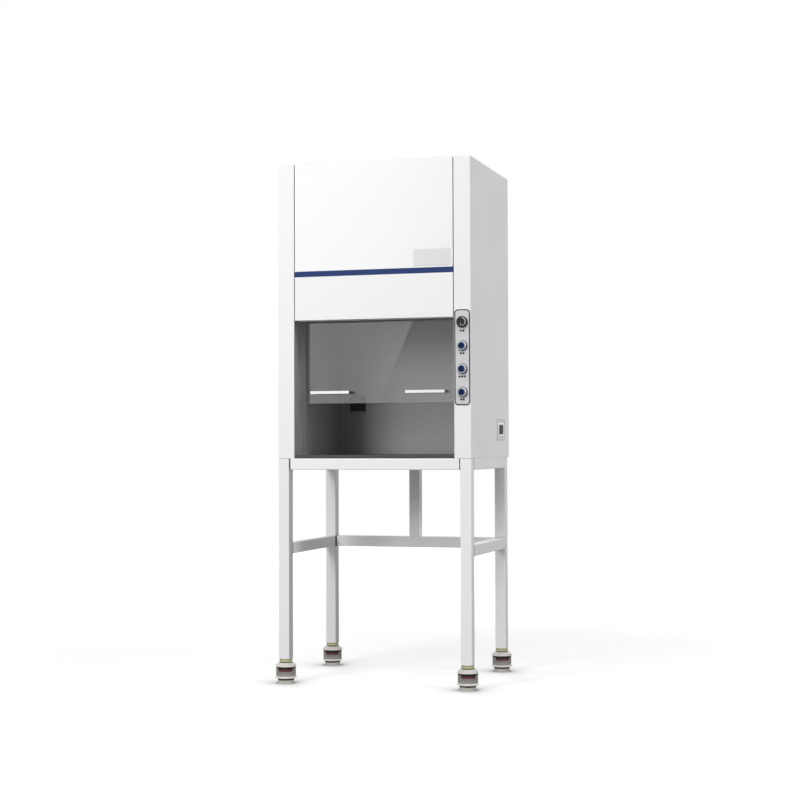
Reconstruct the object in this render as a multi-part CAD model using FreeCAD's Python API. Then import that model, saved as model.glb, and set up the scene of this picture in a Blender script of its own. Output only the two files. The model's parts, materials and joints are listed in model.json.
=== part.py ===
import FreeCAD, Part
import math
import os

# Sizes are in millimetres. X runs to the right, Y to the back and Z up.
# The origin lies on the floor, in the middle of the hood's outline.

# Cabinet shell
cabinet_width = 710.0
cabinet_depth = 570.0
cabinet_height = 1050.0
sheet = 1.2
stile_width = 60.0
stile_return = 70.0
rear_flange = 20.0
panel_gap = 3.0
panel_flange = 20.0
tab_length = 24.0
tab_height = 30.0
tab_setback = 6.0
upper_panel_height = 384.0
stripe_height = 20.0
stripe_depth = 14.0
valance_height = 154.5
valance_lip = 15.0
fold_radius = 1.0

# Stand
stand_height = 800.0
stand_overhang = 25.0
tube_side = 40.0
tube_wall = 2.0
tube_corner = 2.5
rail_gap = 2.0
plug_length = 12.0
lower_rail_bottom = 459.0
upright_centre = 1.0
leg_plate = 8.0

# Levelling feet
foot_height = 87.0
stud_radius = 8.0
stud_length = 74.0
nut_across_flats = 40.0
nut_height = 8.0
nut_sides = 6
washer_radius = 23.0
washer_height = 4.0
bell_radius = 36.5
bell_drop = 15.0
bell_lip = 5.0
bell_wall = 2.0
bell_shoulder_inset = 1.0
bell_swell_share = 0.68
cup_radius = 35.0
cup_wall = 2.4
cup_top = 59.0
cup_ring_radius = 38.0
cup_ring_height = 22.0
cup_ring_slope = 2.0
cup_ring_band = 1.0
cup_ring_shoulder = 4.0
pad_overhang = 2.0
window_width = 50.0
window_height = 14.0
window_drop = 2.5
window_corner = 6.0
window_turn = 17.0
rubber_neck_radius = 20.0
rubber_drop = 1.0
pad_radius = 29.0
pad_height = 17.0

# Work chamber
worktop_thickness = 12.0
worktop_setback = 2.0
rear_space = 60.0
ceiling_rise = 43.5
tray_height = 30.0
tray_wall = 1.5
tray_bar = 6.0
tray_slot_length = 72.0
tray_slot_width = 16.0
tray_border = 24.0

# Sash
glass_thickness = 5.0
sash_overlap = 214.5
glass_clearance = 0.5
glass_edge_gap = 2.5
open_gap = 184.0
sash_rise = 236.0
sash_drop = 183.0
guide_setback = 76.0
guide_wall = 4.0
guide_web = 1.5
guide_face = 15.0
guide_head = 14.0
handle_length = 145.0
handle_height = 10.0
handle_bar = 8.0
handle_post = 10.0
handle_reach = 35.0
handle_spacing = 354.0
handle_rise = 39.0
handle_corner = 2.0

# Sash balance
pulley_radius = 25.0
pulley_width = 12.0
pulley_flange = 1.5
pulley_flange_rise = 3.5
belt_width = 10.0
belt_thickness = 2.0
belt_inset = 28.0
top_pulley_drop = 48.0
lower_pulley_rise = 228.0
shaft_radius = 6.0
axle_radius = 5.0
axle_shoulder = 3.0
bearing_radius = 12.0
bearing_length = 9.0
weight_width = 36.0
weight_depth = 38.0
weight_height = 212.0
weight_drop = 400.0
weight_slot = 0.6
carrier_height = 30.0
carrier_clamp_height = 26.0
carrier_clamp_width = 50.0
carrier_clamp_inset = 25.0
carrier_cheek = 3.0
carrier_grip = 14.0

# Air path
plenum_setback = 100.0
filter_height = 80.0
filter_wall = 1.5
filter_lip = 18.0
filter_gap = 4.0
deck_thickness = 1.5
deck_flange = 15.0
deck_strip = 190.0
deck_border = 32.0
fan_setback = 265.0
fan_rise = 168.5
fan_width = 140.0
fan_wall = 1.5
scroll_start_radius = 112.0
scroll_end_radius = 170.0
tongue_angle = 60.0
fan_inlet_radius = 78.0
fan_seat_gap = 4.0
scroll_steps = 12
fan_foot_width = 30.0
fan_foot_length = 200.0
fan_foot_wall = 3.0
impeller_radius = 100.0
blade_inner_radius = 80.0
blade_count = 24
blade_thickness = 1.6
blade_curve = 5.0
blade_margin = 1.5
impeller_depth = 92.0
impeller_disc = 2.0
hub_radius = 18.0
hub_length = 40.0
hub_reach = 4.0
impeller_setback = 12.0
fan_shaft_radius = 6.0
fan_shaft_length = 70.0
fan_shaft_nose = 6.0
motor_radius = 52.0
motor_length = 96.0
motor_flange_radius = 62.0
motor_flange = 6.0
motor_groove = 4.0
motor_groove_count = 7
motor_groove_margin = 6.0
grille_border = 18.0
grille_height = 6.0
grille_bar = 4.0
grille_bar_count = 8

# Lamp
lamp_length = 440.0
lamp_depth = 42.0
lamp_height = 12.0
lamp_setback = 108.0
tube_radius = 8.0
tube_gap = 3.0
holder_width = 12.0
holder_inset = 10.0
holder_lip = 1.0

# Control column
plate_width = 57.0
plate_height = 333.0
plate_rise = 350.0
plate_thickness = 1.5
plate_corner = 12.0
knob_rise = 122.0
button_top_rise = 40.0
button_count = 3
button_pitch = 80.5
knob_radius = 17.5
knob_top_radius = 13.5
knob_height = 20.0
knob_gap = 0.5
knob_step = 7.0
knob_grip_count = 12
knob_grip_radius = 2.2
knob_grip_offset = 1.0
knob_crown_draft = 2.0
knob_pointer_width = 2.0
knob_pointer_depth = 1.0
knob_pointer_share = 0.3
spindle_radius = 3.0
spindle_length = 16.0
spindle_room = 1.0
pot_size = 24.0
pot_depth = 22.0
bezel_radius = 16.0
bezel_height = 12.0
bezel_chamfer = 2.0
button_radius = 13.0
button_stand = 2.5
button_travel = 3.0
button_depth = 7.0
button_corner = 1.5
barrel_radius = 11.0
barrel_reach = 4.0
contact_size = 30.0
contact_depth = 40.0

# Socket in the chamber
socket_width = 55.0
socket_height = 62.0
socket_corner = 18.0
socket_base_depth = 15.0
socket_lid_depth = 12.0
socket_lid_margin = 2.5
socket_lid_wall = 2.0
socket_body_radius = 21.0
socket_body_depth = 30.0
socket_pocket_depth = 14.0
socket_pocket_radius = 17.0
socket_pocket_drop = 3.0
socket_left = 105.5
socket_rise = 165.0
lid_pin_radius = 2.0
lid_pin_boss = 4.0
lid_ear_width = 5.0

# Circuit breaker in the right side
breaker_plate_width = 120.0
breaker_plate_height = 80.0
breaker_plate_thickness = 1.5
breaker_plate_corner = 5.0
breaker_window_width = 62.0
breaker_window_height = 34.0
breaker_setback = 439.0
breaker_rise = 102.0
breaker_body_length = 80.0
breaker_body_height = 36.0
breaker_body_depth = 44.0
breaker_sink = 3.0
lever_width = 11.0
lever_height = 24.0
lever_stand = 8.0
lever_drum_radius = 9.0
lever_drum_sink = 2.0
lever_corner = 1.5
lever_angle = 22.0

# Cable gland in the back
gland_radius = 11.0
gland_nut_radius = 14.0
gland_reach = 18.0
gland_nut_length = 7.2
gland_flange = 6.0
gland_dome_inset = 2.0
gland_tip_inset = 3.0
gland_bore_radius = 5.0
gland_inset = 60.0
gland_rise = 105.0

# Fits
running_fit = 0.05
apart = 0.3
slip = 0.5

# Working values: how far a cutting shape reaches past a face, and how near counts as the same
past = 1.0
close = 1e-6
parallel_share = 0.999

# Places that follow from the sizes above
V = FreeCAD.Vector
half = cabinet_width / 2.0
cabinet_top = stand_height + cabinet_height
upper_panel_bottom = cabinet_top - upper_panel_height
opening_top = upper_panel_bottom - stripe_height - valance_height
ceiling_height = opening_top + ceiling_rise
control_reach = plate_thickness + knob_gap + knob_height
front = -(cabinet_depth + gland_reach - control_reach) / 2.0
back = front + cabinet_depth
inner = half - stile_width
panel_half = inner - panel_gap
cavity_outer = half - sheet
worktop_top = stand_height + worktop_thickness
glass_bottom = worktop_top + open_gap
glass_front = front + guide_setback + guide_wall + glass_clearance
glass_middle = glass_front + glass_thickness / 2.0
guide_depth = 2.0 * guide_wall + glass_thickness + 2.0 * glass_clearance
glass_half = inner - guide_web - glass_edge_gap
glass_top = opening_top + sash_overlap
top_pulley_height = cabinet_top - top_pulley_drop
lower_pulley_height = worktop_top + lower_pulley_rise
weight_centre = cabinet_top - weight_drop
carrier_low = glass_top - sash_drop - slip
carrier_high = glass_top + carrier_height + sash_rise + slip
guide_top = carrier_high + guide_head / 2.0
belt_middle = half - belt_inset
loop_radius = pulley_radius + apart
liner_front = front + stile_return + apart
liner_back_y = back - rear_space
plenum_y = front + plenum_setback
ceiling_front = plenum_y + sheet
tray_top = ceiling_height + tray_height
filter_top = tray_top + filter_height
deck_top = filter_top + deck_thickness
roof_under = cabinet_top - sheet
fan_y = front + fan_setback
fan_height = deck_top + fan_rise
control_x = half - stile_width / 2.0
control_y = front - plate_thickness
plate_centre_height = stand_height + plate_rise
knob_centre_height = plate_centre_height + knob_rise
leg_x = half - tube_side / 2.0
leg_front_y = front + tube_side / 2.0
leg_rear_y = back - stand_overhang - tube_side / 2.0
breaker_y = front + breaker_setback
breaker_centre_height = stand_height + breaker_rise
drum_x = half - breaker_sink - lever_drum_sink
gland_height = stand_height + gland_rise
socket_bottom = worktop_top + socket_rise
socket_x = socket_left + socket_width / 2.0 - half
socket_z = socket_bottom + socket_height / 2.0
lid_pin_z = socket_bottom + socket_height - lid_pin_boss
lid_pin_y = liner_back_y - socket_base_depth - lid_pin_boss - apart


def box(x0, x1, y0, y1, z0, z1):
    """A block between two values on each axis."""
    return Part.makeBox(x1 - x0, y1 - y0, z1 - z0, V(x0, y0, z0))


def rod_x(radius, x0, x1, y, z):
    """A round bar along X."""
    return Part.makeCylinder(radius, x1 - x0, V(x0, y, z), V(1, 0, 0))


def rod_y(radius, y0, y1, x, z):
    """A round bar along Y."""
    return Part.makeCylinder(radius, y1 - y0, V(x, y0, z), V(0, 1, 0))


def rod_z(radius, z0, z1, x, y):
    """A round bar along Z."""
    return Part.makeCylinder(radius, z1 - z0, V(x, y, z0))


def join(shapes):
    """One solid made from shapes that meet."""
    return shapes[0].fuse(shapes[1:]).removeSplitter()


def mirrored(shape):
    """The same shape on the other side of the middle."""
    return shape.mirror(V(0, 0, 0), V(1, 0, 0))


def both_sides(shape):
    """A left piece and its mirror image, as two solids."""
    return Part.makeCompound([shape, mirrored(shape)])


def edges_along(shape, direction):
    """The straight edges that run along a direction."""
    found = []
    for edge in shape.Edges:
        if isinstance(edge.Curve, Part.Line):
            if abs(edge.Curve.Direction.dot(direction)) > parallel_share:
                found.append(edge)
    return found


def rounded(shape, radius, direction):
    """A shape whose edges along a direction are rounded."""
    return shape.makeFillet(radius, edges_along(shape, direction))


def turned(points, x, y):
    """A solid of revolution about a vertical axis, from points (radius, height)."""
    wire = Part.makePolygon([V(r, 0, z) for r, z in points] + [V(points[0][0], 0, points[0][1])])
    solid = Part.Face(wire).revolve(V(0, 0, 0), V(0, 0, 1), 360)
    solid.translate(V(x, y, 0))
    return solid


def square_tube(x0, x1, y0, y1, z0, z1, direction):
    """A square tube with rounded corners, open at both ends."""
    outer = rounded(box(x0, x1, y0, y1, z0, z1), tube_corner, direction)
    cut = [tube_wall * (1.0 - abs(part)) - abs(part) for part in direction]
    bore = box(x0 + cut[0], x1 - cut[0], y0 + cut[1], y1 - cut[1], z0 + cut[2], z1 - cut[2])
    bore = rounded(bore, tube_corner - tube_wall, direction)
    return outer.cut(bore)


def leg(x, y):
    """A leg of the stand, with the threaded plate that is welded into its lower end."""
    side = tube_side / 2.0
    tube = square_tube(x - side, x + side, y - side, y + side, foot_height, stand_height, V(0, 0, 1))
    inside = side - tube_wall / 2.0
    plate = box(x - inside, x + inside, y - inside, y + inside, foot_height, foot_height + leg_plate)
    hole = rod_z(stud_radius + running_fit, foot_height - past, foot_height + leg_plate + past, x, y)
    return join([tube, plate]).cut(hole)


def rail_x(x0, x1, y0, z0):
    """A rail along X: a tube with a plug in each end, which stands out to meet the leg."""
    y1 = y0 + tube_side
    z1 = z0 + tube_side
    tube = square_tube(x0 + rail_gap, x1 - rail_gap, y0, y1, z0, z1, V(1, 0, 0))
    inset = tube_wall / 2.0
    plugs = []
    for start in (x0, x1 - plug_length):
        plugs.append(box(start, start + plug_length, y0 + inset, y1 - inset, z0 + inset, z1 - inset))
    return join([tube] + plugs)


def rail_y(y0, y1, x0, z0):
    """A rail along Y, with the same plugs."""
    x1 = x0 + tube_side
    z1 = z0 + tube_side
    tube = square_tube(x0, x1, y0 + rail_gap, y1 - rail_gap, z0, z1, V(0, 1, 0))
    inset = tube_wall / 2.0
    plugs = []
    for start in (y0, y1 - plug_length):
        plugs.append(box(x0 + inset, x1 - inset, start, start + plug_length, z0 + inset, z1 - inset))
    return join([tube] + plugs)


def rear_upright():
    """The post between the two rear rails."""
    side = tube_side / 2.0
    y0 = leg_rear_y - side
    y1 = leg_rear_y + side
    x0 = upright_centre - side
    x1 = upright_centre + side
    z0 = lower_rail_bottom + tube_side
    z1 = stand_height - tube_side
    tube = square_tube(x0, x1, y0, y1, z0 + rail_gap, z1 - rail_gap, V(0, 0, 1))
    inset = tube_wall / 2.0
    plugs = []
    for start in (z0, z1 - plug_length):
        plugs.append(box(x0 + inset, x1 - inset, y0 + inset, y1 - inset, start, start + plug_length))
    return join([tube] + plugs)


def foot_bell(x, y, top):
    """The flared cover over the rubber: a thin shell with a straight lip."""
    shoulder = washer_radius - bell_shoulder_inset
    low = top - bell_drop
    lip_top = low + bell_lip
    middle = (shoulder + bell_radius) / 2.0
    swell = lip_top + (top - lip_top) * bell_swell_share
    bore = stud_radius + apart
    points = [(bore, top), (shoulder, top), (middle, swell), (bell_radius, lip_top), (bell_radius, low)]
    points += [(bell_radius - bell_wall, low), (bell_radius - bell_wall, lip_top - bell_wall / 2.0)]
    points += [(middle - bell_wall, swell - bell_wall), (shoulder - bell_wall, top - bell_wall)]
    points += [(bore, top - bell_wall)]
    return turned(points, x, y)


def foot_cup(x, y):
    """The lower cup, with a rolled ring and two opposite windows that show the rubber."""
    inside = cup_radius - cup_wall
    floor = pad_height + cup_wall
    ring = cup_ring_height
    points = [(0, pad_height), (pad_radius + pad_overhang, pad_height)]
    points += [(cup_ring_radius, ring - cup_ring_slope)]
    points += [(cup_ring_radius, ring + cup_ring_band), (cup_radius, ring + cup_ring_shoulder)]
    points += [(cup_radius, cup_top)]
    points += [(inside, cup_top), (inside, floor), (0, floor)]
    cup = turned(points, x, y)
    z1 = cup_top - window_drop
    z0 = z1 - window_height
    wide = window_width / 2.0
    deep = cup_radius + past
    window = rounded(box(x - wide, x + wide, y - deep, y + deep, z0, z1), window_corner, V(0, 1, 0))
    window.rotate(V(x, y, 0), V(0, 0, 1), window_turn)
    return cup.cut(window)


def foot_mount(x, y):
    """The metal pieces of one foot: stud, nut, washer, bell, cup and pad, each a solid."""
    nut_low = foot_height - nut_height
    bell_top = nut_low - washer_height
    stud = rod_z(stud_radius, bell_top - bell_wall, bell_top + stud_length, x, y)
    corner = nut_across_flats / math.sqrt(3.0)
    hexagon = []
    for index in range(nut_sides + 1):
        angle = 2.0 * math.pi * (index + 0.5) / nut_sides
        hexagon.append(V(x + corner * math.cos(angle), y + corner * math.sin(angle), nut_low))
    nut = Part.Face(Part.makePolygon(hexagon)).extrude(V(0, 0, nut_height))
    bore = rod_z(stud_radius + running_fit, bell_top - past, foot_height + past, x, y)
    washer = rod_z(washer_radius, bell_top, nut_low, x, y)
    pad = rod_z(pad_radius, 0.0, pad_height, x, y)
    pieces = [stud, nut.cut(bore), washer.cut(bore), foot_bell(x, y, bell_top), foot_cup(x, y), pad]
    return Part.makeCompound(pieces)


def foot_rubber(x, y):
    """The rubber block that stands in the cup and carries the bell."""
    wide = cup_radius - cup_wall - apart
    floor = pad_height + cup_wall
    bell_top = foot_height - nut_height - washer_height
    neck = bell_top - bell_drop + bell_lip / 2.0
    top = bell_top - bell_wall
    points = [(0, floor), (wide, floor), (wide, cup_top - rubber_drop), (rubber_neck_radius, neck)]
    points += [(rubber_neck_radius, top), (0, top)]
    return turned(points, x, y)


def feet():
    """Both nodes of each of the four feet, by name."""
    places = {}
    for end, y in (("front", leg_front_y), ("rear", leg_rear_y)):
        for hand, x in (("left", -leg_x), ("right", leg_x)):
            places[f"foot_{end}_{hand}_mount"] = foot_mount(x, y)
            places[f"foot_{end}_{hand}_rubber"] = foot_rubber(x, y)
    return places


def stand():
    """The legs and rails of the stand, by name."""
    side = tube_side / 2.0
    rail_end = leg_x - side
    front_line = leg_front_y - side
    rear_line = leg_rear_y - side
    side_start = leg_front_y + side
    top_z = stand_height - tube_side
    left_x = -leg_x - side
    right_x = leg_x - side
    return {
        "leg_front_left": leg(-leg_x, leg_front_y),
        "leg_front_right": leg(leg_x, leg_front_y),
        "leg_rear_left": leg(-leg_x, leg_rear_y),
        "leg_rear_right": leg(leg_x, leg_rear_y),
        "top_rail_front": rail_x(-rail_end, rail_end, front_line, top_z),
        "top_rail_rear": rail_x(-rail_end, rail_end, rear_line, top_z),
        "top_rail_left": rail_y(side_start, rear_line, left_x, top_z),
        "top_rail_right": rail_y(side_start, rear_line, right_x, top_z),
        "lower_rail_rear": rail_x(-rail_end, rail_end, rear_line, lower_rail_bottom),
        "lower_rail_left": rail_y(side_start, rear_line, left_x, lower_rail_bottom),
        "lower_rail_right": rail_y(side_start, rear_line, right_x, lower_rail_bottom),
        "rear_upright": rear_upright(),
    }


def side_panel():
    """The left side and front column, folded from one sheet, with flanges at rear, top and foot."""
    rear_y = back - sheet
    wall = box(-half, -half + sheet, front, back, stand_height, cabinet_top)
    column = box(-half, -inner, front, front + sheet, stand_height, cabinet_top)
    inward = box(-inner - sheet, -inner, front, front + stile_return, stand_height, roof_under)
    rear = box(-half, -half + rear_flange, rear_y - sheet, rear_y, stand_height, roof_under)
    head = box(-half, -half + rear_flange, front + stile_return, rear_y, roof_under - sheet, roof_under)
    sole = box(-half, -inner - sheet, front, rear_y, stand_height, stand_height + sheet)
    panel = join([wall, column, inward, rear, head, sole])
    corners = []
    for edge in edges_along(panel, V(0, 0, 1)):
        middle = edge.CenterOfMass
        at_front = abs(middle.y - front) < close
        if at_front and (abs(middle.x + half) < close or abs(middle.x + inner) < close):
            corners.append(edge)
    return panel.makeFillet(fold_radius, corners)


def side_panel_right():
    """The right side, with holes for the controls and the circuit breaker."""
    panel = mirrored(side_panel())
    deep = sheet + past
    holes = [rod_y(spindle_radius + spindle_room, front - past, front + deep, control_x, knob_centre_height)]
    for height in button_heights():
        holes.append(rod_y(barrel_radius + slip, front - past, front + deep, control_x, height))
    long = breaker_body_length / 2.0 + slip
    tall = breaker_body_height / 2.0 + slip
    low = breaker_centre_height - tall
    high = breaker_centre_height + tall
    holes.append(box(half - deep, half + past, breaker_y - long, breaker_y + long, low, high))
    return panel.cut(holes)


def back_panel():
    """The back sheet, between the side walls, with the hole for the cable gland."""
    wide = cavity_outer - apart
    panel = box(-wide, wide, back - sheet, back, stand_height, cabinet_top)
    x = half - gland_inset
    return panel.cut(rod_y(gland_radius + apart, back - sheet - past, back + past, x, gland_height))


def top_panel():
    """The roof sheet with its turned-down front edge and the exhaust opening."""
    wide = cavity_outer - apart
    y0 = front + panel_flange + sheet
    y1 = back - sheet - apart
    roof = box(-wide, wide, y0, y1, roof_under, cabinet_top)
    edge = box(-panel_half, panel_half, y0, y0 + sheet, roof_under - panel_flange, cabinet_top)
    corner = box(-wide, -inner, front + sheet + apart, y0, roof_under, cabinet_top)
    x1 = outlet_half() + slip
    opening = box(-x1, x1, outlet_front() - slip, outlet_rear() + slip, roof_under - past, cabinet_top + past)
    return join([roof, edge, corner, mirrored(corner)]).cut(opening)


def panel_tabs(z0, z1):
    """Tabs that hold a front panel off the columns, one near each corner."""
    tabs = []
    y0 = front + panel_flange - tab_setback
    for z in (z0 + tab_height, z1 - 2.0 * tab_height):
        for x0 in (-inner, inner - tab_length):
            tabs.append(box(x0, x0 + tab_length, y0, y0 + sheet, z, z + tab_height))
    return tabs


def tray_panel(z0, z1):
    """A front panel: a sheet with its four edges turned back."""
    face = box(-panel_half, panel_half, front, front + panel_flange, z0, z1)
    hollow = box(-panel_half + sheet, panel_half - sheet, front + sheet, front + panel_flange + past,
                 z0 + sheet, z1 - sheet)
    return face.cut(hollow)


def upper_front_panel():
    """The large upper panel, which reaches the top of the cabinet."""
    return join([tray_panel(upper_panel_bottom, cabinet_top)] + panel_tabs(upper_panel_bottom, cabinet_top))


def valance_panel():
    """The lower front panel, whose lower edge runs back to the sash and turns up."""
    top = upper_panel_bottom - stripe_height
    y1 = front + stile_return
    shelf = box(-panel_half, panel_half, front, y1, opening_top, opening_top + sheet)
    lip = box(-panel_half, panel_half, y1 - sheet, y1, opening_top, opening_top + valance_lip)
    return join([tray_panel(opening_top, top), shelf, lip] + panel_tabs(opening_top, top))


def accent_strip():
    """The strip between the two front panels, a channel open to the back."""
    z0 = upper_panel_bottom - stripe_height
    bar = box(-panel_half, panel_half, front, front + stripe_depth, z0, upper_panel_bottom)
    hollow = box(-panel_half - past, panel_half + past, front + sheet, front + stripe_depth + past,
                 z0 + sheet, upper_panel_bottom - sheet)
    return bar.cut(hollow)


def worktop():
    """The slab that closes the chamber at the bottom, with a softened front edge."""
    wide = inner - slip
    slab = box(-wide, wide, front + worktop_setback, liner_back_y + sheet, stand_height, worktop_top)
    edges = []
    for edge in edges_along(slab, V(1, 0, 0)):
        if abs(edge.CenterOfMass.y - front - worktop_setback) < close:
            edges.append(edge)
    return slab.makeFillet(fold_radius, edges)


def liner_side():
    """The left chamber wall, with a slot for the sash carrier, a bearing and an axle."""
    top = roof_under - sheet
    x0 = -inner - sheet
    wall = box(x0, -inner, liner_front, liner_back_y + sheet, stand_height + sheet, top)
    slot = box(x0 - past, -inner + past, glass_front - glass_clearance,
               glass_front + glass_thickness + glass_clearance, carrier_low, carrier_high)
    hole = shaft_radius + running_fit
    collar = rod_x(bearing_radius, x0 - bearing_length, -inner, glass_middle, top_pulley_height)
    bore = rod_x(hole, x0 - bearing_length - past, -inner + past, glass_middle, top_pulley_height)
    axle_end = -belt_middle - pulley_width / 2.0 - pulley_flange
    axle = rod_x(axle_radius, axle_end, x0, glass_middle, lower_pulley_height)
    stop_x = -belt_middle + pulley_width / 2.0 + pulley_flange + slip
    shoulder = rod_x(axle_radius + axle_shoulder, stop_x, x0, glass_middle, lower_pulley_height)
    return join([wall.cut(slot), collar, axle, shoulder]).cut(bore)


def liner_back():
    """The rear chamber wall, with the hole for the socket's body."""
    wide = inner - slip
    wall = box(-wide, wide, liner_back_y, liner_back_y + sheet, worktop_top, roof_under - sheet)
    hole = rod_y(socket_body_radius + slip, liner_back_y - past, liner_back_y + sheet + past,
                 socket_x, socket_z)
    return wall.cut(hole)


def plenum_wall():
    """The wall between the sash's pocket and the filter space."""
    wide = inner - slip
    return box(-wide, wide, plenum_y, plenum_y + sheet, ceiling_height, roof_under - sheet)


def sash_glass():
    """The sliding pane, with softened edges."""
    pane = box(-glass_half, glass_half, glass_front, glass_front + glass_thickness,
               glass_bottom, glass_top)
    return rounded(pane, fold_radius, V(1, 0, 0))


def sash_guides():
    """The channel that holds one edge of the pane, slotted for the carrier, on each side."""
    y0 = front + guide_setback
    channel = box(-inner, -inner + guide_face, y0, y0 + guide_depth, worktop_top, guide_top)
    groove_y = glass_front - glass_clearance
    groove_width = glass_thickness + 2.0 * glass_clearance
    groove = box(-inner + guide_web, -inner + guide_face + past, groove_y, groove_y + groove_width,
                 worktop_top - past, guide_top + past)
    slot = box(-inner - past, -inner + guide_web + past, groove_y, groove_y + groove_width,
               carrier_low, carrier_high)
    return both_sides(channel.cut(groove).cut(slot))


def sash_handle(x):
    """A square handle as three solids: a bar, and the two posts that hold it off the glass."""
    z0 = glass_bottom + handle_rise - handle_height / 2.0
    z1 = z0 + handle_height
    x0 = x - handle_length / 2.0
    x1 = x + handle_length / 2.0
    y0 = glass_front - handle_reach - handle_bar / 2.0
    y1 = y0 + handle_bar
    bar = box(x0, x1, y0, y1, z0, z1)
    corners = [edge for edge in edges_along(bar, V(0, 0, 1)) if edge.CenterOfMass.y < y1 - close]
    pieces = [bar.makeFillet(handle_corner, corners)]
    for start in (x0, x1 - handle_post):
        pieces.append(box(start, start + handle_post, y1, glass_front, z0, z1))
    return pieces


def sash_handles():
    """The two handles near the pane's lower corners."""
    return Part.makeCompound(sash_handle(-handle_spacing / 2.0) + sash_handle(handle_spacing / 2.0))


def sash_carriers():
    """The bracket that grips a top corner of the pane and takes it to the belt, on each side."""
    z0 = glass_top
    z1 = glass_top + carrier_height
    y0 = glass_front
    y1 = glass_front + glass_thickness
    arm_end = -belt_middle - carrier_grip / 2.0
    inside = -inner + guide_face + carrier_clamp_inset
    arm = box(arm_end, inside + carrier_clamp_width, y0, y1, z0, z1)
    low = z0 - carrier_clamp_height
    cheeks = []
    for start in (y0 - carrier_cheek, y1):
        cheeks.append(box(inside, inside + carrier_clamp_width, start, start + carrier_cheek, low, z1))
    belt_y = glass_middle - loop_radius - belt_thickness / 2.0
    grip_y = belt_y - carrier_grip / 2.0
    grip = box(arm_end, arm_end + carrier_grip, grip_y, y1, z0, z1)
    carrier = join([arm, grip] + cheeks)
    wide = belt_width / 2.0 + slip
    thick = belt_thickness / 2.0 + slip
    slot = box(-belt_middle - wide, -belt_middle + wide, belt_y - thick, belt_y + thick,
               z0 - past, z1 + past)
    return both_sides(carrier.cut(slot))


def counterweights():
    """The steel block that hangs on the rear run of the belt, on each side."""
    belt_y = glass_middle + loop_radius + belt_thickness / 2.0
    y0 = belt_y - weight_depth / 2.0
    z0 = weight_centre - weight_height / 2.0
    x0 = -belt_middle - weight_width / 2.0
    block = box(x0, x0 + weight_width, y0, y0 + weight_depth, z0, z0 + weight_height)
    block = rounded(block, fold_radius, V(0, 0, 1))
    wide = belt_width / 2.0 + weight_slot
    thick = belt_thickness / 2.0 + weight_slot
    slot = box(-belt_middle - wide, -belt_middle + wide, belt_y - thick, belt_y + thick,
               z0 - past, z0 + weight_height + past)
    return both_sides(block.cut(slot))


def belt_loop(radius):
    """The face that a loop of one radius encloses, in the plane across X."""
    top = V(0, glass_middle, top_pulley_height)
    low = V(0, glass_middle, lower_pulley_height)
    side = V(0, radius, 0)
    rise = V(0, 0, radius)
    edges = [Part.LineSegment(low - side, top - side).toShape()]
    edges.append(Part.Arc(top - side, top + rise, top + side).toShape())
    edges.append(Part.LineSegment(top + side, low + side).toShape())
    edges.append(Part.Arc(low + side, low - rise, low - side).toShape())
    return Part.Face(Part.Wire(edges))


def sash_belts():
    """The endless belt round the upper and lower pulleys, on each side."""
    ring = belt_loop(loop_radius + belt_thickness).cut(belt_loop(loop_radius))
    belt = ring.Faces[0].extrude(V(belt_width, 0, 0))
    belt.translate(V(-belt_middle - belt_width / 2.0, 0, 0))
    return both_sides(belt)


def pulley(x, z):
    """A flanged belt pulley about an axis along X."""
    x0 = x - pulley_width / 2.0
    x1 = x + pulley_width / 2.0
    rim = pulley_radius + pulley_flange_rise
    pieces = [rod_x(pulley_radius, x0, x1, glass_middle, z)]
    pieces.append(rod_x(rim, x0 - pulley_flange, x0, glass_middle, z))
    pieces.append(rod_x(rim, x1, x1 + pulley_flange, glass_middle, z))
    return join(pieces)


def sync_shaft():
    """The shaft that ties both upper pulleys together, so that the pane stays level."""
    end = belt_middle + pulley_width / 2.0 + pulley_flange + slip
    shaft = rod_x(shaft_radius, -end, end, glass_middle, top_pulley_height)
    left = pulley(-belt_middle, top_pulley_height)
    return join([shaft, left, mirrored(left)])


def lower_pulleys():
    """The lower pulley of each belt, bored for its axle."""
    wheel = pulley(-belt_middle, lower_pulley_height)
    reach = pulley_width
    hole = rod_x(axle_radius + running_fit, -belt_middle - reach, -belt_middle + reach,
                 glass_middle, lower_pulley_height)
    return both_sides(wheel.cut(hole))


def filter_tray():
    """The chamber's ceiling: a tray with rows of slots, which carries the filter."""
    wide = inner - slip
    y0 = ceiling_front
    y1 = liner_back_y - slip
    tray = box(-wide, wide, y0, y1, ceiling_height, tray_top)
    tray = tray.cut(box(-wide + tray_wall, wide - tray_wall, y0 + tray_wall, y1 - tray_wall,
                        ceiling_height + tray_wall, tray_top + past))
    pitch_x = tray_slot_length + tray_bar
    pitch_y = tray_slot_width + tray_bar
    columns = int((2.0 * (wide - tray_border) + tray_bar) // pitch_x)
    rows = int((y1 - y0 - 2.0 * tray_border + tray_bar) // pitch_y)
    start_x = -(columns * pitch_x - tray_bar) / 2.0
    start_y = (y0 + y1 - rows * pitch_y + tray_bar) / 2.0
    slots = []
    for column in range(columns):
        for row in range(rows):
            x = start_x + column * pitch_x
            y = start_y + row * pitch_y
            slots.append(box(x, x + tray_slot_length, y, y + tray_slot_width,
                             ceiling_height - past, ceiling_height + tray_wall + past))
    return tray.cut(slots)


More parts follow.
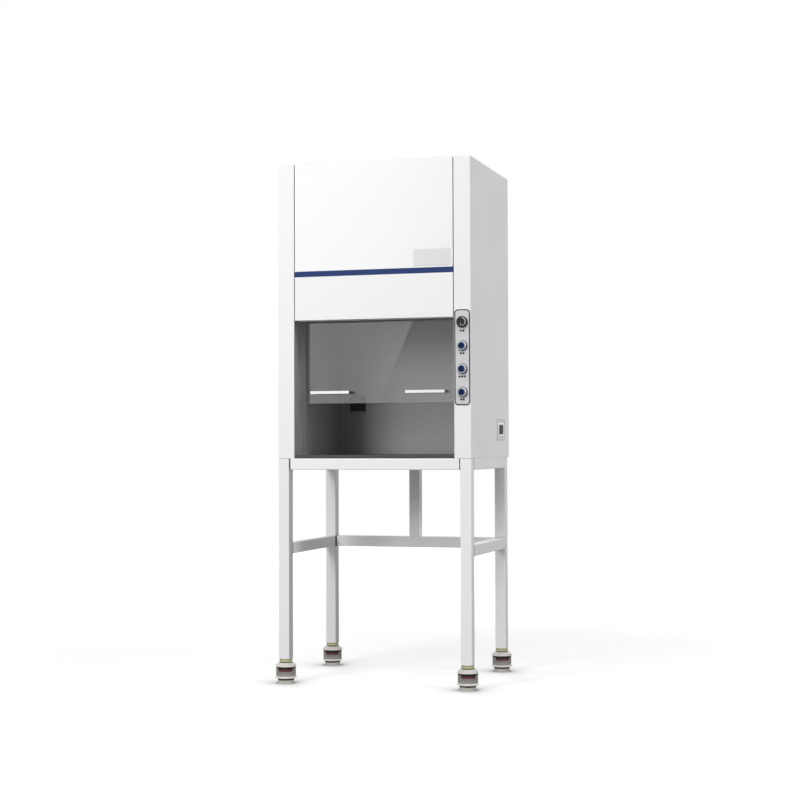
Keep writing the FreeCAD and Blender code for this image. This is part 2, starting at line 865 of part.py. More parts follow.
def carbon_filter():
    """The filter cassette: a frame with inward lips, and the carbon bed inside it."""
    wide = inner - slip - tray_wall - filter_gap
    y0 = ceiling_front + tray_wall + filter_gap
    y1 = liner_back_y - slip - tray_wall - filter_gap
    z0 = ceiling_height + tray_wall
    z1 = filter_top
    frame = box(-wide, wide, y0, y1, z0, z1)
    wall = filter_wall
    frame = frame.cut(box(-wide + wall, wide - wall, y0 + wall, y1 - wall, z0 + wall, z1 - wall))
    frame = frame.cut(box(-wide + filter_lip, wide - filter_lip, y0 + filter_lip, y1 - filter_lip,
                          z0 - past, z1 + past))
    bed = box(-wide + wall, wide - wall, y0 + wall, y1 - wall, z0 + wall, z1 - wall)
    return Part.makeCompound([frame, bed])


def fan_deck():
    """The plate over the filter, with an air opening on each side of the fan."""
    wide = inner - slip
    y0 = ceiling_front
    y1 = liner_back_y - slip
    plate = box(-wide, wide, y0, y1, filter_top, deck_top)
    rims = [box(-wide, -wide + deck_thickness, y0, y1, deck_top, deck_top + deck_flange)]
    rims.append(mirrored(rims[0]))
    openings = []
    for x0, x1 in ((-wide + deck_border, -deck_strip / 2.0), (deck_strip / 2.0, wide - deck_border)):
        openings.append(box(x0, x1, y0 + deck_border, y1 - deck_border, filter_top - past, deck_top + past))
    return join([plate] + rims).cut(openings)


def outlet_half():
    """Half the width of the fan's outlet, outside."""
    return fan_width / 2.0


def outlet_front():
    """The outlet's front face, where the tongue of the scroll stands."""
    return fan_y + scroll_start_radius * math.cos(math.radians(tongue_angle))


def outlet_rear():
    """The outlet's rear face, where the scroll ends."""
    return fan_y + scroll_end_radius


def scroll_face(inset, top):
    """The scroll's outline, moved inwards: a spiral that grows evenly and runs into the outlet."""
    turn = 360.0 - tongue_angle
    points = []
    for index in range(scroll_steps + 1):
        share = index / scroll_steps
        angle = math.radians(tongue_angle + turn * share)
        radius = scroll_start_radius + (scroll_end_radius - scroll_start_radius) * share - inset
        points.append(V(0, fan_y + radius * math.cos(angle), fan_height + radius * math.sin(angle)))
    spiral = Part.BSplineCurve()
    spiral.interpolate(points)
    first = V(0, outlet_front() + inset, points[0].z)
    outlet = [points[-1], V(0, points[-1].y, top), V(0, first.y, top), first, points[0]]
    edges = [spiral.toShape()]
    for start, end in zip(outlet[:-1], outlet[1:]):
        if (end - start).Length > close:
            edges.append(Part.LineSegment(start, end).toShape())
    return Part.Face(Part.Wire(edges))


def fan_housing():
    """The scroll casing, open at its inlet, its outlet and the motor's seat, on two feet."""
    wide = fan_width / 2.0
    outer = scroll_face(0.0, cabinet_top).extrude(V(fan_width, 0, 0))
    outer.translate(V(-wide, 0, 0))
    hollow = scroll_face(fan_wall, cabinet_top + past).extrude(V(fan_width - 2.0 * fan_wall, 0, 0))
    hollow.translate(V(-wide + fan_wall, 0, 0))
    inlet = rod_x(fan_inlet_radius, -wide - past, -wide + fan_wall + past, fan_y, fan_height)
    seat = rod_x(hub_radius + fan_seat_gap, wide - fan_wall - past, wide + past, fan_y, fan_height)
    casing = outer.cut([hollow, inlet, seat])
    feet_pieces = []
    for x0 in (-wide - fan_foot_width, wide):
        x1 = x0 + fan_foot_width
        plate_x = wide - fan_foot_wall if x0 > 0 else -wide
        upright = box(plate_x, plate_x + fan_foot_wall, fan_y - fan_foot_length / 2.0,
                      fan_y + fan_foot_length / 2.0, deck_top, fan_height - fan_inlet_radius - fan_foot_wall)
        sole = box(x0, x1, fan_y - fan_foot_length / 2.0, fan_y + fan_foot_length / 2.0,
                   deck_top, deck_top + fan_foot_wall)
        feet_pieces.append(upright.cut(hollow))
        feet_pieces.append(sole)
    return join([casing] + feet_pieces)


def blade_section():
    """One forward-curved blade: the strip between two arcs, just inside the rims."""
    inside = V(0, blade_inner_radius + blade_margin, 0)
    outside = V(0, impeller_radius - blade_margin, 0)
    middle = (inside + outside) * 0.5 + V(0, 0, blade_curve)
    thick = V(0, 0, blade_thickness)
    edges = [Part.Arc(inside, middle, outside).toShape()]
    edges.append(Part.LineSegment(outside, outside + thick).toShape())
    edges.append(Part.Arc(outside + thick, middle + thick, inside + thick).toShape())
    edges.append(Part.LineSegment(inside + thick, inside).toShape())
    return Part.Face(Part.Wire(edges))


def fan_impeller():
    """The fan wheel: a back disc, a front ring, curved blades, a hub and its shaft."""
    x1 = fan_width / 2.0 - fan_wall - impeller_setback
    x0 = x1 - impeller_depth
    centre = V(0, fan_y, fan_height)
    disc = rod_x(impeller_radius, x1 - impeller_disc, x1, fan_y, fan_height)
    ring = rod_x(impeller_radius, x0, x0 + impeller_disc, fan_y, fan_height)
    ring = ring.cut(rod_x(blade_inner_radius, x0 - past, x0 + impeller_disc + past, fan_y, fan_height))
    hub = rod_x(hub_radius, x1 - hub_length, x1 + hub_reach, fan_y, fan_height)
    nose = x1 - hub_length - fan_shaft_nose
    shaft = rod_x(fan_shaft_radius, nose, x1 + fan_shaft_length, fan_y, fan_height)
    blade = blade_section().extrude(V(impeller_depth - impeller_disc, 0, 0))
    blade.translate(V(x0 + impeller_disc / 2.0, 0, 0) + centre)
    pieces = [disc, ring, hub, shaft]
    for index in range(blade_count):
        copy = blade.copy()
        copy.rotate(centre, V(1, 0, 0), 360.0 * index / blade_count)
        pieces.append(copy)
    return join(pieces)


def fan_motor():
    """The motor on the casing's side, with cooling grooves and the bore for the shaft."""
    x0 = fan_width / 2.0
    flange = rod_x(motor_flange_radius, x0, x0 + motor_flange, fan_y, fan_height)
    can = rod_x(motor_radius, x0 + motor_flange, x0 + motor_length, fan_y, fan_height)
    body = join([flange, can])
    pitch = (motor_length - motor_flange - 2.0 * motor_groove_margin) / motor_groove_count
    for index in range(motor_groove_count):
        start = x0 + motor_flange + motor_groove_margin + index * pitch
        ring = rod_x(motor_radius + past, start, start + motor_groove, fan_y, fan_height)
        core = rod_x(motor_radius - motor_groove, start, start + motor_groove, fan_y, fan_height)
        body = body.cut(ring.cut(core))
    bore = rod_x(fan_shaft_radius + running_fit, x0 - past, x0 + fan_shaft_length, fan_y, fan_height)
    return body.cut(bore)


def exhaust_grille():
    """The grille over the outlet: a flat frame with cross bars, and a collar in the opening."""
    x1 = outlet_half() + grille_border
    y0 = outlet_front() - grille_border
    y1 = outlet_rear() + grille_border
    frame = box(-x1, x1, y0, y1, cabinet_top, cabinet_top + grille_height)
    inner_half = outlet_half() - fan_wall
    in_y0 = outlet_front() + fan_wall
    in_y1 = outlet_rear() - fan_wall
    frame = frame.cut(box(-inner_half, inner_half, in_y0, in_y1, cabinet_top - past,
                          cabinet_top + grille_height + past))
    pitch = (in_y1 - in_y0) / (grille_bar_count + 1)
    bars = []
    for index in range(grille_bar_count):
        y = in_y0 + (index + 1) * pitch - grille_bar / 2.0
        bars.append(box(-inner_half, inner_half, y, y + grille_bar, cabinet_top,
                        cabinet_top + grille_height))
    return join([frame] + bars)


def lamp_housing():
    """The lamp's channel under the ceiling, with a holder at each end of the tube."""
    wide = lamp_length / 2.0
    y0 = front + lamp_setback
    y1 = y0 + lamp_depth
    z1 = ceiling_height
    z0 = z1 - lamp_height
    channel = rounded(box(-wide, wide, y0, y1, z0, z1), fold_radius, V(1, 0, 0))
    holders = []
    tube_z = z0 - tube_gap - tube_radius
    low = tube_z - tube_radius - holder_lip
    for x0 in (-wide, wide - holder_width):
        holders.append(box(x0, x0 + holder_width, y0 + holder_inset, y1 - holder_inset, low, z0))
    return join([channel] + holders)


def lamp_tube():
    """The tube between the two holders."""
    end = lamp_length / 2.0 - holder_width
    tube_z = ceiling_height - lamp_height - tube_gap - tube_radius
    return rod_x(tube_radius, -end, end, front + lamp_setback + lamp_depth / 2.0, tube_z)


def button_heights():
    """The heights of the buttons, from the top."""
    top = plate_centre_height + button_top_rise
    return [top - index * button_pitch for index in range(button_count)]


def control_plate():
    """The rounded plate behind the knob and the buttons."""
    x0 = control_x - plate_width / 2.0
    z0 = plate_centre_height - plate_height / 2.0
    plate = box(x0, x0 + plate_width, control_y, front, z0, z0 + plate_height)
    plate = rounded(plate, plate_corner, V(0, 1, 0))
    hole = spindle_radius + spindle_room
    holes = [rod_y(hole, control_y - past, front + past, control_x, knob_centre_height)]
    for height in button_heights():
        holes.append(rod_y(barrel_radius + slip, control_y - past, front + past, control_x, height))
    return plate.cut(holes)


def speed_knob():
    """The fan speed knob: a fluted skirt, a smaller top with a pointer groove, and its spindle."""
    x = control_x
    z = knob_centre_height
    base = control_y - knob_gap
    face = base - knob_height
    skirt = rod_y(knob_radius, base - knob_step, base, x, z)
    crown = Part.makeCone(knob_top_radius + knob_crown_draft, knob_top_radius, knob_height - knob_step,
                          V(x, base - knob_step, z), V(0, -1, 0))
    knob = join([skirt, crown])
    flutes = []
    for index in range(knob_grip_count):
        angle = math.radians(360.0 * (index + 0.5) / knob_grip_count)
        fx = x + (knob_radius + knob_grip_offset) * math.cos(angle)
        fz = z + (knob_radius + knob_grip_offset) * math.sin(angle)
        flutes.append(rod_y(knob_grip_radius, base - knob_step - past, base + past, fx, fz))
    wide = knob_pointer_width / 2.0
    low = z - knob_top_radius - knob_crown_draft - past
    pointer = box(x - wide, x + wide, face - past, face + knob_pointer_depth,
                  low, z - knob_top_radius * knob_pointer_share)
    spindle = rod_y(spindle_radius, base - past, front + spindle_length, x, z)
    return join([knob.cut(flutes + [pointer]), spindle])


def push_button(z):
    """The cap of a push button, with a crowned face."""
    face = control_y - bezel_height - button_stand
    cap = rod_y(button_radius, face, face + button_depth + button_stand, control_x, z)
    rims = [edge for edge in cap.Edges if abs(edge.CenterOfMass.y - face) < close]
    return cap.makeFillet(button_corner, rims)


def button_body(z):
    """A button's bezel, barrel and contact block, bored for the cap."""
    x = control_x
    bezel = rod_y(bezel_radius, control_y - bezel_height, control_y, x, z)
    rims = [edge for edge in bezel.Edges if abs(edge.CenterOfMass.y - control_y + bezel_height) < close]
    bezel = bezel.makeChamfer(bezel_chamfer, rims)
    barrel = rod_y(barrel_radius, control_y - past, front + sheet + barrel_reach, x, z)
    size = contact_size / 2.0
    y0 = front + sheet
    block = box(x - size, x + size, y0, y0 + contact_depth, z - size, z + size)
    depth = button_depth + button_travel + slip
    bore = rod_y(button_radius + apart, control_y - bezel_height - past,
                 control_y - bezel_height + depth, x, z)
    return join([bezel, barrel, block]).cut(bore)


def switch_bodies():
    """The fixed bodies behind the controls: three button bodies and the speed control."""
    x = control_x
    z = knob_centre_height
    size = pot_size / 2.0
    y0 = front + sheet
    pot = box(x - size, x + size, y0, y0 + pot_depth, z - size, z + size)
    pot = pot.cut(rod_y(spindle_radius + running_fit, y0 - past, front + spindle_length + apart, x, z))
    return Part.makeCompound([button_body(height) for height in button_heights()] + [pot])


def socket_outline(margin, y0, y1):
    """The socket's outline, straight at the bottom and well rounded at the top, extruded."""
    x0 = socket_x - socket_width / 2.0 + margin
    x1 = socket_x + socket_width / 2.0 - margin
    z0 = socket_bottom + margin
    z1 = socket_bottom + socket_height - margin
    slab = box(x0, x1, y0, y1, z0, z1)
    upper = []
    for edge in edges_along(slab, V(0, 1, 0)):
        if edge.CenterOfMass.z > socket_z:
            upper.append(edge)
    return slab.makeFillet(socket_corner - margin, upper)


def socket_base():
    """The socket's base on the rear wall, with its round pocket, hinge ears and body behind."""
    y1 = liner_back_y
    y0 = y1 - socket_base_depth
    plate = socket_outline(0.0, y0, y1)
    body = rod_y(socket_body_radius, y1 - past, y1 + sheet + socket_body_depth, socket_x, socket_z)
    pocket = rod_y(socket_pocket_radius, y0 - past, y0 + socket_pocket_depth, socket_x,
                   socket_z - socket_pocket_drop)
    ears = []
    reach = socket_width / 2.0 - socket_corner
    for x0 in (socket_x - reach, socket_x + reach - lid_ear_width):
        ear = rod_x(lid_pin_boss, x0, x0 + lid_ear_width, lid_pin_y, lid_pin_z)
        web = box(x0, x0 + lid_ear_width, lid_pin_y, y0, lid_pin_z - lid_pin_boss, lid_pin_z + lid_pin_boss)
        ears.append(join([ear, web]))
    pin = rod_x(lid_pin_radius, socket_x - reach, socket_x + reach, lid_pin_y, lid_pin_z)
    return join([plate, body, pin] + ears).cut(pocket)


def socket_lid():
    """The spring lid over the socket: a shallow cap that turns about the pin at its top."""
    y1 = liner_back_y - socket_base_depth - apart
    y0 = y1 - socket_lid_depth
    cap = socket_outline(socket_lid_margin, y0, y1)
    room = socket_outline(socket_lid_margin + socket_lid_wall, y0 + socket_lid_wall, y1 + past)
    keep_top = lid_pin_z - lid_pin_boss - apart
    room = room.common(box(-half, half, y0, y1 + past, 0.0, keep_top - socket_lid_wall))
    cap = cap.cut(room)
    reach = socket_width / 2.0 - socket_corner
    notches = []
    for x0 in (socket_x - reach - apart, socket_x + reach - lid_ear_width - apart):
        x1 = x0 + lid_ear_width + 2.0 * apart
        notches.append(box(x0, x1, y0 - past, y1 + past, keep_top, cabinet_top))
    bore = rod_x(lid_pin_radius + running_fit, socket_x - reach - past, socket_x + reach + past,
                 lid_pin_y, lid_pin_z)
    swing = socket_base_swing()
    return cap.cut(notches + [bore]).cut(swing)


def socket_base_swing():
    """The room behind the hinge line that the lid's upper edge needs as it turns."""
    y1 = liner_back_y
    top = socket_bottom + socket_height
    return box(-half, half, lid_pin_y + lid_pin_boss - apart, y1, lid_pin_z, top + past)


def breaker_body():
    """The circuit breaker in the side, and the plate with the window over it."""
    x1 = half
    wide = breaker_plate_width / 2.0
    tall = breaker_plate_height / 2.0
    plate = box(x1, x1 + breaker_plate_thickness, breaker_y - wide, breaker_y + wide,
                breaker_centre_height - tall, breaker_centre_height + tall)
    plate = rounded(plate, breaker_plate_corner, V(1, 0, 0))
    win_y = breaker_window_width / 2.0
    win_z = breaker_window_height / 2.0
    plate = plate.cut(box(x1 - past, x1 + breaker_plate_thickness + past, breaker_y - win_y,
                          breaker_y + win_y, breaker_centre_height - win_z, breaker_centre_height + win_z))
    long = breaker_body_length / 2.0
    high = breaker_body_height / 2.0
    body = box(x1 - breaker_body_depth, x1, breaker_y - long, breaker_y + long,
               breaker_centre_height - high, breaker_centre_height + high)
    recess = box(x1 - breaker_sink, x1 + past, breaker_y - win_y, breaker_y + win_y,
                 breaker_centre_height - win_z, breaker_centre_height + win_z)
    drum_z = lever_height / 2.0 + apart
    drum = rod_z(lever_drum_radius + apart, breaker_centre_height - drum_z,
                 breaker_centre_height + drum_z, drum_x, breaker_y)
    return Part.makeCompound([plate, body.cut(recess).cut(drum)])


def breaker_lever():
    """The breaker's lever, on a drum that turns about an upright axis."""
    z0 = breaker_centre_height - lever_height / 2.0
    z1 = z0 + lever_height
    drum = rod_z(lever_drum_radius, z0, z1, drum_x, breaker_y)
    tip = half + breaker_plate_thickness + lever_stand
    paddle = box(drum_x, tip, breaker_y - lever_width / 2.0, breaker_y + lever_width / 2.0, z0, z1)
    paddle = rounded(paddle, lever_corner, V(0, 0, 1))
    lever = join([drum, paddle])
    lever.rotate(V(drum_x, breaker_y, z0), V(0, 0, 1), lever_angle)
    return lever


def cable_gland():
    """The gland in the back panel: an inside flange, a barrel and a ribbed clamping nut."""
    x = half - gland_inset
    z = gland_height
    nut = rod_y(gland_nut_radius, back, back + gland_nut_length, x, z)
    dome = Part.makeCone(gland_nut_radius - gland_dome_inset, gland_radius - gland_tip_inset,
                         gland_reach - gland_nut_length, V(x, back + gland_nut_length, z), V(0, 1, 0))
    barrel = rod_y(gland_radius, back - sheet - gland_flange, back, x, z)
    flange = rod_y(gland_nut_radius, back - sheet - gland_flange, back - sheet, x, z)
    bore = rod_y(gland_bore_radius, back - sheet - gland_flange - past, back + gland_reach + past, x, z)
    return join([nut, dome, barrel, flange]).cut(bore)


def cabinet():
    """The cabinet's own pieces, by name."""
    left_liner = liner_side()
    names = {
        "side_panel_left": side_panel(),
        "side_panel_right": side_panel_right(),
        "back_panel": back_panel(),
        "top_panel": top_panel(),
        "upper_front_panel": upper_front_panel(),
        "accent_strip": accent_strip(),
        "valance_panel": valance_panel(),
        "worktop": worktop(),
        "liner_left": left_liner,
        "liner_right": mirrored(left_liner),
        "liner_back": liner_back(),
        "plenum_wall": plenum_wall(),
        "filter_tray": filter_tray(),
        "carbon_filter": carbon_filter(),
        "fan_deck": fan_deck(),
        "fan_housing": fan_housing(),
        "fan_impeller": fan_impeller(),
        "fan_motor": fan_motor(),
        "exhaust_grille": exhaust_grille(),
        "lamp_housing": lamp_housing(),
        "lamp_tube": lamp_tube(),
        "cable_gland": cable_gland(),
    }
    return names


def sash():
    """The sash, its guides and its balance, by name."""
    return {
        "sash_glass": sash_glass(),
        "sash_handles": sash_handles(),
        "sash_carriers": sash_carriers(),
        "sash_guides": sash_guides(),
        "sash_belts": sash_belts(),
        "sync_shaft": sync_shaft(),
        "lower_pulleys": lower_pulleys(),
        "counterweights": counterweights(),
    }


def controls():
    """The controls, the socket and the breaker, by name."""
    names = {
        "control_plate": control_plate(),
        "speed_knob": speed_knob(),
        "switch_bodies": switch_bodies(),
        "socket_base": socket_base(),
        "socket_lid": socket_lid(),
        "breaker_body": breaker_body(),
        "breaker_lever": breaker_lever(),
    }
    for name, height in zip(("button_fan", "button_lamp", "button_socket"), button_heights()):
        names[name] = push_button(height)
    return names


os.makedirs("parts", exist_ok=True)
for group in (stand(), feet(), cabinet(), sash(), controls()):
    for name, shape in group.items():
        shape.exportStep(f"parts/{name}.step")
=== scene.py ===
import json
import math

import bpy
import numpy as np
from mathutils import Matrix, Vector


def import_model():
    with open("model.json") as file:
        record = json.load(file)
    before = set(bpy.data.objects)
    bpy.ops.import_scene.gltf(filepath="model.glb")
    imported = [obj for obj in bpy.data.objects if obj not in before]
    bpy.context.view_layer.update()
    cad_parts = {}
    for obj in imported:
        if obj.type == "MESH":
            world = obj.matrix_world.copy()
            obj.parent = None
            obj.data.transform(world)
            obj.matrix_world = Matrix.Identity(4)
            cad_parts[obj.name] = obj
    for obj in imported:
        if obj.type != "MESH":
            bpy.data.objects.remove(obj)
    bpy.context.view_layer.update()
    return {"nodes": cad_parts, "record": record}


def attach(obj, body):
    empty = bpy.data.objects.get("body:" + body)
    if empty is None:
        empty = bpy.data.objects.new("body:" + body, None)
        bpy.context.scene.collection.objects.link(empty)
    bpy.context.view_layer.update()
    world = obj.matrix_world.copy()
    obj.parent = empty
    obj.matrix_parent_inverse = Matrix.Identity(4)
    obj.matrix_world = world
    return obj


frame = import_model()

# Places on the hood, in metres: X to the right, Y to the back, Z up from the floor
FRONT = -0.283
BACK = 0.287
SIDE = 0.355
ROOF = 1.850
OPENING_TOP = 1.2455
# Under this height the valance is painted dark, as painted shade
VALANCE_EDGE = OPENING_TOP + 0.0006
SIDE_RETURN = 0.2953
# Below this height the worktop is painted dark: painted shade under its edge
WORKTOP_JOINT = 0.8028
LABEL_PLATE = (0.2173, FRONT - 0.00015, 1.5018)

CONTROL_X = 0.325
CONTROL_MIDDLE = 1.150
PLATE_FACE = FRONT - 0.0015
KNOB_Z = 1.272
BUTTON_Z = (1.190, 1.1095, 1.029)
BUTTONS = ("button_fan", "button_lamp", "button_socket")
KNOB_BAND = (PLATE_FACE - 0.0186, PLATE_FACE - 0.0082)
KNOB_TOP = PLATE_FACE - 0.0203

GLASS_FRONT = -0.2025
GLASS_BOTTOM = 0.996
# Below this height the pane is paler: painted highlight on its lower edge
GLASS_RIM = GLASS_BOTTOM + 0.0022
HANDLE_POSTS = GLASS_FRONT - 0.0311

BREAKER_FACE = SIDE + 0.0014
BREAKER_Y = 0.156
BREAKER_Z = 0.902
# The breaker lever is paler across this band: painted light
LEVER_MIDDLE = (0.150, 0.162)
GLAND_NUT = (0.295, BACK + 0.0038, 0.905)

# The joints of the stand's tubes, where a thin dark line of painted shade shows
LEG_JOINT = 0.7988
RAIL_X_JOINTS = (-0.3098, 0.3122)
RAIL_Y_JOINTS = (-0.2406, 0.2196)
UPRIGHT_JOINT = 0.7576

FEET = {
    "foot_front_left": (-0.335, -0.263),
    "foot_front_right": (0.335, -0.263),
    "foot_rear_left": (-0.335, 0.242),
    "foot_rear_right": (0.335, 0.242),
}
# The height band where the feet's red rubber is left lit; above and below it the rubber is painted
# dark as painted shade
RUBBER_LIT = (0.0432, 0.0500)

X_AXIS, Y_AXIS, Z_AXIS = (1.0, 0.0, 0.0), (0.0, 1.0, 0.0), (0.0, 0.0, 1.0)
FORWARD = (0.0, -1.0, 0.0)


# Shader building blocks

def add(tree, kind, links=None, **settings):
    """A shader node with its settings, and with values or links on its inputs."""
    made = tree.nodes.new(kind)
    for key, value in settings.items():
        setattr(made, key, value)
    for key, value in (links or {}).items():
        socket = made.inputs[key]
        if isinstance(value, bpy.types.NodeSocket):
            tree.links.new(value, socket)
        else:
            socket.default_value = value
    return made


def shared_group(name, inputs, outputs):
    """An empty node group with float inputs and the named outputs, and its two end nodes."""
    group = bpy.data.node_groups.new(name, "ShaderNodeTree")
    for label, value in inputs.items():
        socket = group.interface.new_socket(label, in_out="INPUT", socket_type="NodeSocketFloat")
        socket.default_value = value
    for label, kind in outputs.items():
        group.interface.new_socket(label, in_out="OUTPUT", socket_type=kind)
    return group, group.nodes.new("NodeGroupInput"), group.nodes.new("NodeGroupOutput")


def make_surface_group():
    """Cloudy tone, fine grain, scattered specks and lighter edges, partly wear and partly painted
    highlight, by the piece's own coordinates.
    """
    group, given, result = shared_group(
        "surface detail",
        {"Cloud Scale": 5.0, "Grain Scale": 700.0, "Stretch": 1.0, "Edge Size": 0.0006},
        {"Cloud": "NodeSocketFloat", "Grain": "NodeSocketFloat", "Speck": "NodeSocketFloat",
         "Edge": "NodeSocketFloat"})
    place = add(group, "ShaderNodeTexCoord").outputs["Object"]
    squeeze = add(group, "ShaderNodeCombineXYZ",
                  {"X": given.outputs["Stretch"], "Y": 1.0, "Z": 1.0}).outputs[0]
    drawn = add(group, "ShaderNodeVectorMath", {0: place, 1: squeeze},
                operation="MULTIPLY").outputs[0]
    cloud = add(group, "ShaderNodeTexNoise",
                {"Vector": place, "Scale": given.outputs["Cloud Scale"], "Detail": 3.0}).outputs[0]
    grain = add(group, "ShaderNodeTexNoise",
                {"Vector": drawn, "Scale": given.outputs["Grain Scale"], "Detail": 2.0}).outputs[0]
    speck = add(group, "ShaderNodeMapRange",
                {"Value": grain, "From Min": 0.56, "From Max": 0.74}).outputs[0]
    soft = add(group, "ShaderNodeBevel", {"Radius": given.outputs["Edge Size"]},
               samples=3).outputs[0]
    flat = add(group, "ShaderNodeNewGeometry").outputs["Normal"]
    agree = add(group, "ShaderNodeVectorMath", {0: soft, 1: flat},
                operation="DOT_PRODUCT").outputs["Value"]
    edge = add(group, "ShaderNodeMapRange",
               {"Value": agree, "From Min": 0.995, "From Max": 0.90}).outputs[0]
    for label, value in (("Cloud", cloud), ("Grain", grain), ("Speck", speck), ("Edge", edge)):
        group.links.new(value, result.inputs[label])
    return group


SURFACE = make_surface_group()
SPECK_LIGHTER = 1.9
EDGE_LIGHTER = 1.7


def maths(tree, operation, first, second=0.0):
    """One step of reckoning with values."""
    return add(tree, "ShaderNodeMath", {0: first, 1: second}, operation=operation).outputs[0]


def blend_colour(tree, share, first, second):
    """A colour between two colours."""
    mix = tree.nodes.new("ShaderNodeMix")
    mix.data_type = "RGBA"
    for index, value in ((0, share), (6, first), (7, second)):
        if isinstance(value, bpy.types.NodeSocket):
            tree.links.new(value, mix.inputs[index])
        else:
            mix.inputs[index].default_value = value
    return mix.outputs[2]


def shade(colour, factor=1.0):
    """A colour made lighter or darker, with an alpha of one."""
    return tuple(min(1.0, part * factor) for part in colour[:3]) + (1.0,)


def painted(name, colour, rough, metal=0.0, coat=0.0, tone=0.03, cloud=5.0, grain=700.0,
            stretch=1.0, relief=0.00004, speck=0.0, edge=0.10, edge_size=0.0006, shine=0.5):
    """A finish with cloudy tone, grain in the relief, varied roughness and lighter edges, which are
    partly wear and partly painted highlight.
    """
    material = bpy.data.materials.new(name)
    material.use_nodes = True
    tree = material.node_tree
    shader = tree.nodes["Principled BSDF"]
    detail = tree.nodes.new("ShaderNodeGroup")
    detail.node_tree = SURFACE
    for label, value in (("Cloud Scale", cloud), ("Grain Scale", grain), ("Stretch", stretch),
                         ("Edge Size", edge_size)):
        detail.inputs[label].default_value = value
    body = blend_colour(tree, detail.outputs["Cloud"],
                        shade(colour, 1.0 - tone), shade(colour, 1.0 + tone))
    if speck:
        spot = maths(tree, "MULTIPLY", detail.outputs["Speck"], speck)
        body = blend_colour(tree, spot, body, shade(colour, SPECK_LIGHTER))
    # Lighter edges: partly wear, partly painted highlight
    wear_and_highlight = maths(tree, "MULTIPLY", detail.outputs["Edge"], edge)
    body = blend_colour(tree, wear_and_highlight, body, shade(colour, EDGE_LIGHTER))
    tree.links.new(body, shader.inputs["Base Color"])
    gloss = add(tree, "ShaderNodeMapRange",
                {"Value": detail.outputs["Cloud"], "From Min": 0.3, "From Max": 0.7,
                 "To Min": rough * 0.88, "To Max": min(1.0, rough * 1.12)})
    tree.links.new(gloss.outputs[0], shader.inputs["Roughness"])
    shader.inputs["Metallic"].default_value = metal
    shader.inputs["Coat Weight"].default_value = coat
    shader.inputs["Specular IOR Level"].default_value = shine
    shader.inputs["Coat Roughness"].default_value = 0.08
    bump = add(tree, "ShaderNodeBump",
               {"Height": detail.outputs["Grain"], "Strength": 0.6, "Distance": relief})
    tree.links.new(bump.outputs[0], shader.inputs["Normal"])
    return material


def own_axis(tree, axis):
    """One of the piece's own coordinates, in metres."""
    place = add(tree, "ShaderNodeTexCoord").outputs["Object"]
    return add(tree, "ShaderNodeSeparateXYZ", {0: place}).outputs[axis]


def recolour(material, mask_maker, colour):
    """Paints another colour into a finish where a mask is one."""
    tree = material.node_tree
    shader = tree.nodes["Principled BSDF"]
    base = shader.inputs["Base Color"]
    under = base.links[0].from_socket
    tree.links.new(blend_colour(tree, mask_maker(tree), under, shade(colour)), base)
    return material


def beyond(axis, low=None, high=None, spread=False):
    """A mask maker: one where the piece lies under a low value or over a high value on an axis.
    With spread, the distance from the middle is compared."""
    def mask(tree):
        value = own_axis(tree, axis)
        if spread:
            value = maths(tree, "ABSOLUTE", value)
        found = []
        if low is not None:
            found.append(maths(tree, "LESS_THAN", value, low))
        if high is not None:
            found.append(maths(tree, "GREATER_THAN", value, high))
        if len(found) == 1:
            return found[0]
        return maths(tree, "MAXIMUM", found[0], found[1])
    return mask


def between(axis, low, high):
    """A mask maker: one where the piece lies between two values on an axis."""
    def mask(tree):
        outside = beyond(axis, low=low, high=high)(tree)
        return maths(tree, "SUBTRACT", 1.0, outside)
    return mask


POWDER = {"coat": 0.15, "tone": 0.012, "grain": 900.0, "relief": 0.00003, "edge": 0.05}
SMOOTH = {"tone": 0.008, "grain": 900.0, "relief": 0.00001, "edge": 0.03}
LINER = {"tone": 0.05, "grain": 260.0, "relief": 0.00022, "edge": 0.15}


def stand_white(name, mask, colour):
    """The stand's powder white, with painted shade where a mask is one: the joints between its
    tubes.
    """
    return recolour(painted(name, (0.87, 0.87, 0.88), 0.42, **POWDER), mask, colour)


def handle_finish():
    """Bright satin bars whose posts, behind the bar, are black."""
    base = painted("handle satin", (0.93, 0.93, 0.94), 0.30, coat=0.3, grain=900.0, stretch=0.05)
    return recolour(base, beyond("Y", high=HANDLE_POSTS), (0.012, 0.012, 0.013))


def knob_finish():
    """Black plastic with a pale band round the crown's side and a slightly lighter face."""
    base = painted("knob black", (0.012, 0.012, 0.013), 0.45, edge=0.3, shine=0.12)
    recolour(base, between("Y", *KNOB_BAND), (0.66, 0.66, 0.67))
    return recolour(base, beyond("Y", low=KNOB_TOP), (0.034, 0.033, 0.033))


# Heights from and to on a foot, and the colour between them: mostly painted shade and painted
# highlight, and at the top the zinc washer and nut
FOOT_BANDS = (
    (0.0118, 0.0172, (0.04, 0.04, 0.04)),
    (0.0172, 0.0248, (0.84, 0.82, 0.78)),
    (0.0248, 0.0340, (0.34, 0.318, 0.296)),
    (0.0340, 0.0540, (0.27, 0.248, 0.232)),
    (0.0540, 0.0588, (0.02, 0.018, 0.018)),
    (0.0588, 0.0640, (0.80, 0.765, 0.72)),
    (0.0736, 0.0770, (0.06, 0.06, 0.05)),
    (0.0770, 0.0808, (0.80, 0.80, 0.50)),
    (0.0808, 0.0880, (0.42, 0.43, 0.26)),
)


def foot_finish():
    """Warm grey cast metal, banded by height: painted shade under the ring, over the cup, darker
    towards the bell, and under the bell's lip and the washer; a painted highlight on the ring and
    on the bell's rim; and a yellow zinc washer and nut."""
    base = painted("foot metal", (0.60, 0.578, 0.535), 0.40, metal=0.15, coat=0.2, tone=0.10,
                   cloud=60.0, edge=0.35, edge_size=0.001)
    for low, high, colour in FOOT_BANDS:
        recolour(base, between("Z", low, high), colour)
    return base


